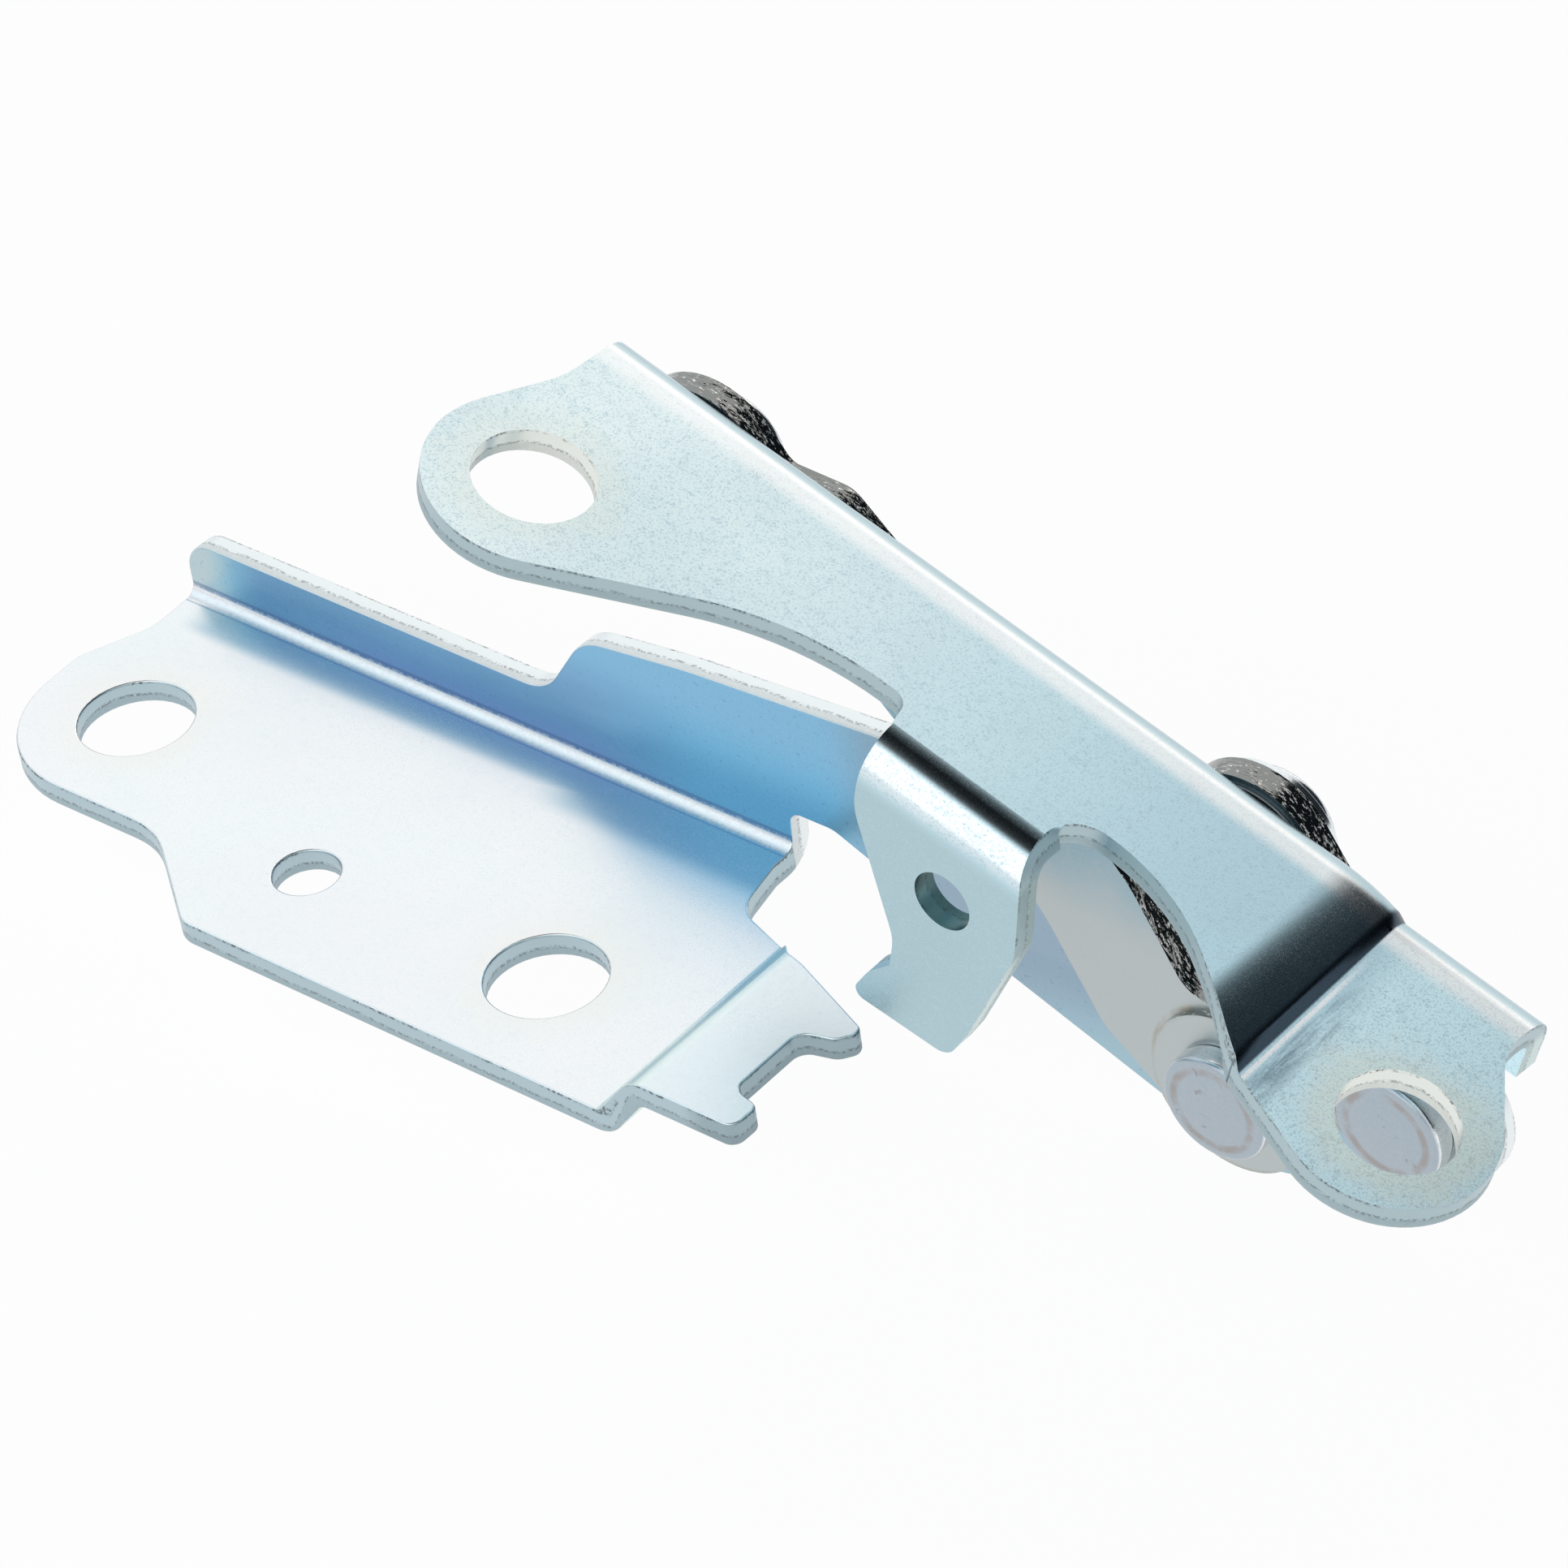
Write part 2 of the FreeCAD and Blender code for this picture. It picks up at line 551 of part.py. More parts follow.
def pivot_parts():
    """Rivet, washer and bush of every pivot, by node name."""
    nodes = {}
    for name, pivot, play, head_side in pivot_sets():
        if head_side < 0:
            washer_y = link_near_y - land_height - face_play - washer_thickness
            nodes[name + "_rivet"] = rivet(pivot, washer_y - head_height, flange_outer_y)
            nodes[name + "_washer"] = washer(pivot, washer_y, washer_radius, washer_thickness)
            nodes[name + "_bush"] = bush(pivot, play, 1, link_gap)
        else:
            washer_y = link_far_y + face_play
            head_y = washer_y + far_washer_thickness + head_height
            nodes[name + "_rivet"] = rivet(pivot, head_y, hood_inner_y)
            nodes[name + "_washer"] = washer(pivot, washer_y, far_washer_radius, far_washer_thickness)
            nodes[name + "_bush"] = bush(pivot, play, -1, hood_gap)
    return nodes


def main():
    """Write one STEP file per piece."""
    nodes = {"lower_bracket": lower_bracket(), "upper_bracket": upper_bracket(),
             "front_link": front_link(), "rear_link": rear_link()}
    nodes.update(pivot_parts())
    os.makedirs("parts", exist_ok=True)
    for name, shape in nodes.items():
        if len(shape.Solids) != 1 or not shape.isValid():
            raise RuntimeError(name + " is not one valid solid")
        shape.Solids[0].exportStep("parts/" + name + ".step")
        print(name, round(shape.Volume, 1), "mm3")


main()
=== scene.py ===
"""Looks of the hood hinge: rounded and plated sheet metal, riveted pivots, studio and camera."""
import json
import math

import bpy
from mathutils import Matrix, Vector
from mathutils.bvhtree import BVHTree


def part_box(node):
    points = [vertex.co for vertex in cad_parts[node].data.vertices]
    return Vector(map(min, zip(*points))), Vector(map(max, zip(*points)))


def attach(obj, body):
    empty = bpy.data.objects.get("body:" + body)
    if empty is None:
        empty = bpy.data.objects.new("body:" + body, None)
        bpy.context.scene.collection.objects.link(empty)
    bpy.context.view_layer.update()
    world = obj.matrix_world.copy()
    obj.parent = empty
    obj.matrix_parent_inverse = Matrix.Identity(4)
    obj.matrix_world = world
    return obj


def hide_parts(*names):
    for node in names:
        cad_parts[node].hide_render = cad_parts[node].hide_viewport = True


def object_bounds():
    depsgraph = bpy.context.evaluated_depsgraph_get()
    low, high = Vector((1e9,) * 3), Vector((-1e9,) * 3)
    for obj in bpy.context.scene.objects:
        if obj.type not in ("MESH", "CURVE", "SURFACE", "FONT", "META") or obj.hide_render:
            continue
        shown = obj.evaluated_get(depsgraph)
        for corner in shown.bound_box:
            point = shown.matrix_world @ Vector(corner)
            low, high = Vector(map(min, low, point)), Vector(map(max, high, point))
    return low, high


bl_info = {
    "name": "Hood Hinge",
    "version": (1, 0, 0),
    "blender": (4, 5, 0),
    "location": "View3D > Sidebar > Hood Hinge",
    "description": "Dresses the parts of a car's hood hinge and lights them",
    "category": "Object",
}

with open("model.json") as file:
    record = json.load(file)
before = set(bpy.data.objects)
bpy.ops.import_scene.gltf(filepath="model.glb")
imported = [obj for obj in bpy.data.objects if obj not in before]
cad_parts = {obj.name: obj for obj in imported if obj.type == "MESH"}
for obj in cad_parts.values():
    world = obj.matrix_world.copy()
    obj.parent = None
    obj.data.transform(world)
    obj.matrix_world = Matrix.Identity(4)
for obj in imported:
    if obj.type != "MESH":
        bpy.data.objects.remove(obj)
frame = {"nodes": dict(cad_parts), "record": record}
CAD_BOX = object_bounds()
MM = 0.001
BODY_OF = {node: body for body, nodes in frame["record"]["behaviour"]["bodies"].items()
           for node in nodes}

# Sheet parts, with the finishes of their faces and of their cut edges
SHEETS = {"lower_bracket": ("base", "base_cut"), "upper_bracket": ("plate", "plate_cut"),
          "front_link": ("front_link", "torn"), "rear_link": ("rear_link", "torn")}
PIVOTS = ("front_lower", "rear_lower", "front_upper", "rear_upper")
BODY_HOLES = ("front_body_hole", "rear_body_hole")
HOOD_HOLES = ("hood_front_bolt", "hood_rear_bolt")

# Measures that no setting covers
NEAR = 0.01 * MM                    # places nearer than this count as one
SMALL_ROUNDING = 0.1 * MM           # along the edges of washers and bushes
HALF_MARK = 0.35 * MM               # half the width of the ring pressed into a rivet's head
MARK_CROWN = 0.02 * MM              # height of the head's middle inside that ring
END_TAB_RISE = 6.6 * MM             # end tab over the base
BASE_CAMBER = math.radians(4.4)     # slope that the bump gives the base towards its fold
TAB_SPAN = (-45 * MM, 8 * MM)       # where the side tab lies, along the upper bracket
BEND_RADIUS = 4.8 * MM              # outside the bends of the upper bracket
RING_WIDTH = 0.7 * MM               # of the stains round the pivots
FLOOR_SIZE, FLOOR_X = 8.0, 0.05
FLOOR_GLOW = 0.95                   # share of the floor that shows its colour and no shadow
SENSOR_WIDTH = 36.0                 # millimetres
CLIP_START = 0.01
NODE_SPACING, NODES_IN_ROW = (220, -260), 12

# Depth of each finish's bump, in metres
RELIEF = {"plain": 0.00001, "base": 0.000003, "hood": 0.000004, "cut": 0.00003,
          "torn": 0.00012, "rivet": 0.000008}

# Tints that no setting covers, named after where they lie; several are painted highlights, painted
# reflections or painted shade, as noted where they are laid
TINTS = {
    "base clouds": (0.93, 0.95, 0.975), "base bloom": (0.74, 0.83, 0.88),
    "base step": (0.78, 0.94, 0.88), "beside the fold": (0.46, 0.63, 0.74),
    "end tab": (0.88, 0.95, 0.98), "body hole stain": (0.90, 0.89, 0.78),
    "film streaks": (0.20, 0.39, 0.60), "film rear": (0.20, 0.50, 0.72),
    "film top": (0.27, 0.52, 0.72), "film front end": (0.47, 0.61, 0.65),
    "film specks": (0.10, 0.22, 0.36), "fold line": (0.10, 0.16, 0.34),
    "fillet foot": (0.30, 0.42, 0.58), "fillet": (0.80, 0.79, 0.82),
    "arm low": (0.37, 0.54, 0.63), "base cut": (0.47, 0.59, 0.64),
    "end tab cut": (0.34, 0.44, 0.48), "flange cut": (0.90, 0.95, 0.96),
    "plate rear": (0.50, 0.72, 0.81), "pad": (0.66, 0.90, 0.98),
    "pad step": (0.03, 0.05, 0.075), "pad step foot": (0.97, 0.99, 1.0),
    "pad scuff": (0.14, 0.22, 0.28), "far bend light": (0.98, 1.0, 1.0),
    "far bend rim": (0.42, 0.58, 0.64), "tab": (0.43, 0.58, 0.63),
    "tab bend light": (0.98, 0.99, 1.0), "tab bend dark": (0.10, 0.12, 0.13),
    "low cut": (0.64, 0.76, 0.76), "cut flecks": (0.05, 0.06, 0.06),
    "tab hole wall": (0.20, 0.31, 0.31), "hood hole wall": (0.84, 0.87, 0.83),
    "link top": (0.30, 0.46, 0.54), "link bloom": (0.52, 0.54, 0.53),
    "link eye stain": (0.34, 0.29, 0.18), "torn dull": (0.26, 0.27, 0.26),
    "torn bright": (0.98, 0.98, 0.95), "rivet side": (0.86, 0.90, 0.92),
    "rivet bloom": (0.50, 0.52, 0.55), "rivet scratches": (0.26, 0.24, 0.24),
    "washer": (0.88, 0.92, 0.93), "bush": (0.35, 0.35, 0.35), "bush bloom": (0.2, 0.2, 0.2),
    "studio": (0.72, 0.76, 0.79),
}

# Patches of the studio, later ones over earlier: direction, cosines where the patch fades
# out and where it is full, and tint
PATCHES = (
    ((-0.50, 0.60, 0.62), 0.80, 0.93, (1.00, 1.01, 1.01)),
    ((-0.20, 0.91, 0.36), 0.90, 0.97, (1.35, 1.25, 1.20)),
    ((-0.08, 0.66, 0.75), 0.96, 0.99, (1.02, 1.02, 1.02)),
    ((-0.10, -0.75, 0.65), 0.75, 0.86, (1.30, 1.30, 1.30)),
    ((-0.58, -0.55, 0.60), 0.86, 0.94, (0.90, 1.00, 1.05)),
    ((0.66, 0.64, 0.38), 0.73, 0.82, (0.015, 0.02, 0.025)),
    ((0.03, 0.10, 0.995), 0.88, 0.93, (0.01, 0.012, 0.014)),
)

# Outputs of the node groups
SURFACE_OUTPUTS = (("Color", "Color"), ("Roughness", "Float"), ("Height", "Float"))
MASK_OUTPUT = (("Mask", "Float"),)


# Settings that a user would change


class SheetSettings(bpy.types.PropertyGroup):
    """Sheet metal of the brackets and links."""

    thickness: bpy.props.FloatProperty(
        name="Thickness", description="Thickness of the sheet", default=3.0 * MM,
        unit="LENGTH", precision=5)
    rounding: bpy.props.FloatProperty(
        name="Edge rounding", description="Radius that shearing leaves along the cut edges",
        default=0.3 * MM, unit="LENGTH", precision=5)
    plate: bpy.props.FloatVectorProperty(
        name="Plate colour", description="Bright zinc plate", default=(0.80, 0.92, 0.93),
        subtype="COLOR", min=0, max=1)
    bloom: bpy.props.FloatVectorProperty(
        name="Bloom colour", description="Duller specks in the plate", default=(0.48, 0.66, 0.74),
        subtype="COLOR", min=0, max=1)
    base: bpy.props.FloatVectorProperty(
        name="Base colour", description="Palest plate, on the base of the lower bracket",
        default=(0.92, 0.96, 0.97), subtype="COLOR", min=0, max=1)
    blue: bpy.props.FloatVectorProperty(
        name="Blue film", description="Film that colours the upright flange",
        default=(0.165, 0.345, 0.54), subtype="COLOR", min=0, max=1)
    cyan: bpy.props.FloatVectorProperty(
        name="Cyan film", description="Thinner film, at the flange's front end",
        default=(0.25, 0.50, 0.65), subtype="COLOR", min=0, max=1)
    violet: bpy.props.FloatVectorProperty(
        name="Violet film", description="Where the blue film turns violet, low on the flange",
        default=(0.24, 0.36, 0.63), subtype="COLOR", min=0, max=1)
    lilac: bpy.props.FloatVectorProperty(
        name="Lilac film", description="Film on the arm that carries the lower pivots",
        default=(0.295, 0.41, 0.515), subtype="COLOR", min=0, max=1)
    halo: bpy.props.FloatVectorProperty(
        name="Halo colour", description="Yellowish passivation round the holes",
        default=(0.80, 0.80, 0.64), subtype="COLOR", min=0, max=1)
    cut: bpy.props.FloatVectorProperty(
        name="Cut edge colour", description="Plate over the sheared edges",
        default=(0.44, 0.56, 0.60), subtype="COLOR", min=0, max=1)
    link: bpy.props.FloatVectorProperty(
        name="Link colour", description="Plate on the faces of the links",
        default=(0.50, 0.55, 0.56), subtype="COLOR", min=0, max=1)


class RivetSettings(bpy.types.PropertyGroup):
    """Rivets of the four pivots."""

    head_radius: bpy.props.FloatProperty(
        name="Head radius", description="Radius of a rivet's head", default=6.6 * MM,
        unit="LENGTH", precision=5)
    head_height: bpy.props.FloatProperty(
        name="Head height", description="Height of a rivet's head", default=2.25 * MM,
        unit="LENGTH", precision=5)
    rim: bpy.props.FloatProperty(
        name="Rim rounding", description="Rounding of the head's rim", default=0.65 * MM,
        unit="LENGTH", precision=5)
    shank_radius: bpy.props.FloatProperty(
        name="Shank radius", description="Radius of the shank", default=4.0 * MM,
        unit="LENGTH", precision=5)
    tail_radius: bpy.props.FloatProperty(
        name="Tail radius", description="Radius of the upset tail", default=6.2 * MM,
        unit="LENGTH", precision=5)
    tail_height: bpy.props.FloatProperty(
        name="Tail height", description="Height of the upset tail", default=1.6 * MM,
        unit="LENGTH", precision=5)
    mark_radius: bpy.props.FloatProperty(
        name="Mark radius", description="Radius of the ring pressed into the head",
        default=5.0 * MM, unit="LENGTH", precision=5)
    mark_depth: bpy.props.FloatProperty(
        name="Mark depth", description="Depth of that ring", default=0.1 * MM,
        unit="LENGTH", precision=5)
    face: bpy.props.FloatVectorProperty(
        name="Face colour", description="Plate on the rivet heads", default=(0.40, 0.47, 0.53),
        subtype="COLOR", min=0, max=1)
    stain: bpy.props.FloatVectorProperty(
        name="Stain colour", description="Brown stain in the pressed ring",
        default=(0.34, 0.28, 0.24), subtype="COLOR", min=0, max=1)


class StudioSettings(bpy.types.PropertyGroup):
    """Camera, floor and light."""

    azimuth: bpy.props.FloatProperty(
        name="Azimuth", description="Camera's turn round the hinge",
        default=math.radians(44.86), subtype="ANGLE", unit="ROTATION")
    elevation: bpy.props.FloatProperty(
        name="Elevation", description="Camera's height above the horizon",
        default=math.radians(37.87), subtype="ANGLE", unit="ROTATION")
    roll: bpy.props.FloatProperty(
        name="Roll", description="Camera's turn about its own line of sight",
        default=math.radians(-8.53), subtype="ANGLE", unit="ROTATION")
    distance: bpy.props.FloatProperty(
        name="Distance", description="From the camera to the point it looks at",
        default=654.06 * MM, unit="LENGTH", precision=4)
    lens: bpy.props.FloatProperty(
        name="Lens", description="Focal length for a sensor 36 mm wide", default=141.57,
        subtype="DISTANCE_CAMERA")
    aim: bpy.props.FloatVectorProperty(
        name="Aim", description="Point the camera looks at",
        default=(60.37 * MM, 11.95 * MM, 28.28 * MM), subtype="XYZ", unit="LENGTH", precision=4)
    floor: bpy.props.FloatVectorProperty(
        name="Floor colour", description="Pale floor under the hinge",
        default=(1.0, 1.0, 1.0), subtype="COLOR", min=0, max=1)
    floor_gap: bpy.props.FloatProperty(
        name="Floor gap", description="Below the lowest point of the hinge", default=0.3 * MM,
        unit="LENGTH", precision=4)
    light: bpy.props.FloatProperty(
        name="Light", description="Strength of the soft light", default=1.0, min=0)


# Small helpers


def deselect():
    """Leave object mode with nothing selected."""
    if bpy.context.object and bpy.context.object.mode != "OBJECT":
        bpy.ops.object.mode_set(mode="OBJECT")
    bpy.ops.object.select_all(action="DESELECT")


def pick(obj):
    """Select one object alone and make it active."""
    deselect()
    obj.select_set(True)
    bpy.context.view_layer.objects.active = obj


def pick_faces(obj, test):
    """In edit mode, select the faces whose centre and normal pass a test."""
    bpy.ops.mesh.select_all(action="DESELECT")
    bpy.ops.object.mode_set(mode="OBJECT")
    for polygon in obj.data.polygons:
        polygon.select = test(polygon.center, polygon.normal)
    bpy.ops.object.mode_set(mode="EDIT")
    bpy.ops.mesh.select_mode(type="FACE")


def pick_edges(obj, test):
    """In edit mode, select the edges whose two ends pass a test."""
    bpy.ops.mesh.select_all(action="DESELECT")
    bpy.ops.mesh.select_mode(type="EDGE")
    bpy.ops.object.mode_set(mode="OBJECT")
    vertices = obj.data.vertices
    for edge in obj.data.edges:
        edge.select = all(test(vertices[i].co) for i in edge.vertices)
    bpy.ops.object.mode_set(mode="EDIT")


def even_shading(obj, angle=35):
    """Smooth shading that keeps the flat faces flat."""
    pick(obj)
    bpy.ops.object.shade_smooth_by_angle(angle=math.radians(angle))
    modifier = obj.modifiers.new("even", "WEIGHTED_NORMAL")
    modifier.keep_sharp = True
    bpy.ops.object.modifier_apply(modifier=modifier.name)


def settle(obj, node):
    """Put a finished piece in its body, in place of the node it dresses."""
    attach(obj, BODY_OF[node])
    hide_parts(node)


# Places from the frame


def centre_of(node):
    """Middle of a node's box."""
    low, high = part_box(node)
    return (low + high) / 2


def mount_of(name):
    """What the record says of a mount."""
    return next(mount for mount in frame["record"]["mounts"] if mount["name"] == name)


def flange_face_y(sheet):
    """Near face of the lower bracket's upright flange."""
    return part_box("lower_bracket")[1].y - sheet.thickness


# Node groups shared by the materials


def rgba(colour):
    """Colour as a socket takes it, with nothing see-through."""
    return (colour[0], colour[1], colour[2], 1.0)


class Nodes:
    """Adds nodes to a tree and links them in one call."""

    def __init__(self, tree):
        self.tree = tree
        self.step = 0

    def add(self, kind, inputs=None, **settings):
        """New node; an input is a value or another node's output."""
        node = self.tree.nodes.new(kind)
        row, column = divmod(self.step, NODES_IN_ROW)
        node.location = (NODE_SPACING[0] * column, NODE_SPACING[1] * row)
        self.step += 1
        for key, value in settings.items():
            setattr(node, key, value)
        for key, value in (inputs or {}).items():
            if isinstance(value, bpy.types.NodeSocket):
                self.tree.links.new(value, node.inputs[key])
            else:
                node.inputs[key].default_value = value
        return node

    def group(self, group, inputs):
        """Outputs of a node group that is placed in the tree."""
        return self.add("ShaderNodeGroup", inputs, node_tree=group).outputs

    def math(self, operation, a, b=0.0, clamp=False):
        """Result of one sum."""
        return self.add("ShaderNodeMath", {0: a, 1: b}, operation=operation,
                        use_clamp=clamp).outputs[0]

    def times(self, a, b):
        """Product of two values; of two masks, the place where both hold."""
        return self.math("MULTIPLY", a, b)

    def minus(self, a, b):
        """Difference of two values."""
        return self.math("SUBTRACT", a, b)

    def vector(self, operation, a, b=(0.0, 0.0, 0.0)):
        """Outputs of one sum of vectors."""
        return self.add("ShaderNodeVectorMath", {0: a, 1: b}, operation=operation).outputs

    def distance(self, a, b):
        """Distance between two points."""
        return self.vector("DISTANCE", a, b)["Value"]

    def dot(self, a, b):
        """How far one vector reaches along another."""
        return self.vector("DOT_PRODUCT", a, b)["Value"]

    def mix(self, factor, a, b):
        """Colour between a and b."""
        node = self.add("ShaderNodeMix", {0: factor, 6: a, 7: b}, data_type="RGBA")
        return node.outputs[2]

    def ramp(self, value, low, high):
        """Smooth step from 0 at low to 1 at high."""
        node = self.add("ShaderNodeMapRange", {"Value": value, "From Min": low, "From Max": high},
                        interpolation_type="SMOOTHSTEP")
        return node.outputs[0]

    def fall(self, value, low, high):
        """Smooth step from 1 at low to 0 at high."""
        return self.minus(1.0, self.ramp(value, low, high))

    def band(self, value, start, end):
        """Rise over the stretch called start, and fall over the one called end."""
        return self.minus(self.ramp(value, *start), self.ramp(value, *end))

    def noise(self, vector, scale, roughness=0.55, detail=3.0):
        """Value of a noise pattern; the scale is in waves per metre."""
        node = self.add("ShaderNodeTexNoise", {"Vector": vector, "Scale": scale,
                                               "Detail": detail, "Roughness": roughness})
        return node.outputs[0]

    def split(self, vector):
        """The three parts of a vector."""
        return self.add("ShaderNodeSeparateXYZ", {0: vector}).outputs


def new_group(name, inputs, outputs):
    """Shader node group; inputs are (name, kind, default). Gives its nodes and its inputs."""
    group = bpy.data.node_groups.new(name, "ShaderNodeTree")
    for label, kind, default in inputs:
        socket = group.interface.new_socket(label, in_out="INPUT", socket_type="NodeSocket" + kind)
        if default is not None:
            socket.default_value = default
    for label, kind in outputs:
        group.interface.new_socket(label, in_out="OUTPUT", socket_type="NodeSocket" + kind)
    nodes = Nodes(group)
    return group, nodes, nodes.add("NodeGroupInput").outputs


def plate_bloom_group():
    """Fine frosting of zinc plate over rolled steel."""
    group, nodes, source = new_group(
        "Plate bloom",
        [("Vector", "Vector", None), ("Clear", "Color", (0.7, 0.8, 0.85, 1)),
         ("Bloom", "Color", (0.5, 0.6, 0.7, 1)), ("Amount", "Float", 0.5),
         ("Roughness", "Float", 0.3)],
        SURFACE_OUTPUTS)
    place = source["Vector"]
    grain = nodes.noise(place, 3600.0, 0.75)
    frosting = nodes.times(nodes.ramp(grain, 0.50, 0.64), 0.80)
    specks = nodes.times(nodes.ramp(nodes.noise(place, 900.0, 0.6), 0.50, 0.68), 0.25)
    clouds = nodes.times(nodes.ramp(nodes.noise(place, 40.0, 0.5), 0.38, 0.66), 0.25)
    total = nodes.math("ADD", nodes.math("ADD", frosting, specks), clouds)
    share = nodes.math("MULTIPLY", total, source["Amount"], clamp=True)
    colour = nodes.mix(share, source["Clear"], source["Bloom"])
    roughness = nodes.math("ADD", source["Roughness"], nodes.times(share, 0.08))
    nodes.add("NodeGroupOutput", {"Color": colour, "Roughness": roughness, "Height": grain})
    return group


def sheared_edge_group():
    """Sheared edge under its plate: torn below a ragged line, with dark flecks along it."""
    group, nodes, source = new_group(
        "Sheared edge",
        [("Vector", "Vector", None), ("Plate", "Color", (0.5, 0.6, 0.6, 1)),
         ("Fleck", "Color", (0.08, 0.09, 0.09, 1)), ("Amount", "Float", 0.5),
         ("Depth", "Float", 1.0)],
        SURFACE_OUTPUTS)
    tears = nodes.noise(source["Vector"], 2600.0, 0.7)
    drift = nodes.noise(source["Vector"], 210.0, 0.6)
    wander = 0.3
    level = nodes.math("ADD", source["Depth"], nodes.minus(nodes.times(drift, wander), wander / 2))
    torn = nodes.fall(level, 0.34, 0.42)
    rough = nodes.times(nodes.times(torn, tears), 0.36)
    border = nodes.fall(nodes.math("ABSOLUTE", nodes.minus(level, 0.40)), 0.02, 0.10)
    burr = nodes.times(nodes.ramp(source["Depth"], 0.84, 0.93), nodes.ramp(drift, 0.46, 0.58))
    spread = nodes.math("MAXIMUM", nodes.times(border, 0.6), nodes.times(burr, 0.9))
    spots = nodes.ramp(tears, 0.44, 0.58)
    share = nodes.math("MULTIPLY", nodes.times(spots, spread), source["Amount"], clamp=True)
    tone = nodes.mix(rough, source["Plate"], nodes.mix(0.6, source["Plate"], source["Fleck"]))
    colour = nodes.mix(share, tone, source["Fleck"])
    roughness = nodes.math("ADD", 0.34, nodes.times(torn, 0.14))
    height = nodes.times(tears, nodes.math("ADD", torn, 0.3))
    nodes.add("NodeGroupOutput", {"Color": colour, "Roughness": roughness, "Height": height})
    return group


def halo_group():
    """Patchy round stain about a point, such as passivation left round a hole."""
    group, nodes, source = new_group(
        "Halo",
        [("Vector", "Vector", None), ("Centre", "Vector", (0, 0, 0)), ("Inner", "Float", 0.006),
         ("Outer", "Float", 0.01)],
        MASK_OUTPUT)
    place = source["Vector"]
    wander = 8 * MM
    drift = nodes.times(nodes.noise(place, 170.0, 0.65, 4.0), wander)
    reach = nodes.math("ADD", nodes.distance(place, source["Centre"]), drift)
    stain = nodes.fall(nodes.minus(reach, wander / 2), source["Inner"], source["Outer"])
    fine = nodes.times(nodes.noise(place, 2400.0, 0.7), 1.2)
    nodes.add("NodeGroupOutput", {"Mask": nodes.math("MULTIPLY", stain, fine, clamp=True)})
    return group


def ring_group():
    """Thin patchy ring about an axis along Y, such as a stain in a pressed groove."""
    group, nodes, source = new_group(
        "Ring",
        [("Vector", "Vector", None), ("Centre", "Vector", (0, 0, 0)), ("Radius", "Float", 0.005),
         ("Width", "Float", 0.0006)],
        MASK_OUTPUT)
    away = nodes.vector("SUBTRACT", source["Vector"], source["Centre"])[0]
    flat = nodes.vector("MULTIPLY", away, (1.0, 0.0, 1.0))[0]
    offset = nodes.math("ABSOLUTE", nodes.minus(nodes.vector("LENGTH", flat)["Value"],
                                                source["Radius"]))
    line = nodes.fall(offset, nodes.times(source["Width"], 0.25), source["Width"])
    patchy = nodes.ramp(nodes.noise(source["Vector"], 330.0, 0.6), 0.32, 0.60)
    nodes.add("NodeGroupOutput", {"Mask": nodes.times(line, patchy)})
    return group


def studio_patch_group():
    """Soft round patch of light or dark in the studio's surroundings."""
    group, nodes, source = new_group(
        "Studio patch",
        [("Direction", "Vector", None), ("Aim", "Vector", (0, 0, 1)), ("Outer", "Float", 0.8),
         ("Inner", "Float", 0.9), ("Tint", "Color", (1, 1, 1, 1)),
         ("Around", "Color", (0, 0, 0, 1))],
        [("Color", "Color")])
    facing = nodes.dot(source["Direction"], source["Aim"])
    share = nodes.ramp(facing, source["Outer"], source["Inner"])
    nodes.add("NodeGroupOutput", {"Color": nodes.mix(share, source["Around"], source["Tint"])})
    return group


# Materials


def start_material(name):
    """Material with its shader, the object's coordinates, and nothing else."""
    material = bpy.data.materials.new(name)
    material.use_nodes = True
    tree = material.node_tree
    tree.nodes.clear()
    nodes = Nodes(tree)
    place = nodes.add("ShaderNodeTexCoord").outputs["Object"]
    shader = nodes.add("ShaderNodeBsdfPrincipled")
    nodes.add("ShaderNodeOutputMaterial", {"Surface": shader.outputs[0]})
    return material, nodes, place, shader


def finish_surface(nodes, shader, surface, relief, metallic=1.0):
    """Feed colour, roughness and a fine bump of a given depth to the shader."""
    colour, roughness, height = surface
    bump = nodes.add("ShaderNodeBump", {"Height": height, "Strength": 1.0, "Distance": relief})
    links = nodes.tree.links
    links.new(colour, shader.inputs["Base Color"])
    links.new(roughness, shader.inputs["Roughness"])
    links.new(bump.outputs[0], shader.inputs["Normal"])
    shader.inputs["Metallic"].default_value = metallic


def blend(nodes, share, colour, tint, strength=1.0):
    """Lay a tint over a colour where a mask says."""
    return nodes.mix(nodes.math("MULTIPLY", share, strength, clamp=True), colour, rgba(tint))


def frost(nodes, groups, place, clear, bloom, amount, roughness):
    """Colour, roughness and height of frosted plate."""
    outputs = nodes.group(groups["bloom"], {
        "Vector": place, "Clear": clear, "Bloom": rgba(bloom), "Amount": amount,
        "Roughness": roughness})
    return outputs["Color"], outputs["Roughness"], outputs["Height"]


def halo(nodes, groups, place, mount, radii):
    """Mask of a stain round a mount's hole, which fades from one radius to another."""
    return nodes.group(groups["halo"], {
        "Vector": place, "Centre": mount_of(mount)["pos_m"], "Inner": radii[0],
        "Outer": radii[1]})["Mask"]


def ring(nodes, groups, place, pivot, radius):
    """Mask of a thin stain round a pivot."""
    return nodes.group(groups["ring"], {"Vector": place, "Centre": pivot, "Radius": radius,
                                        "Width": RING_WIDTH})["Mask"]


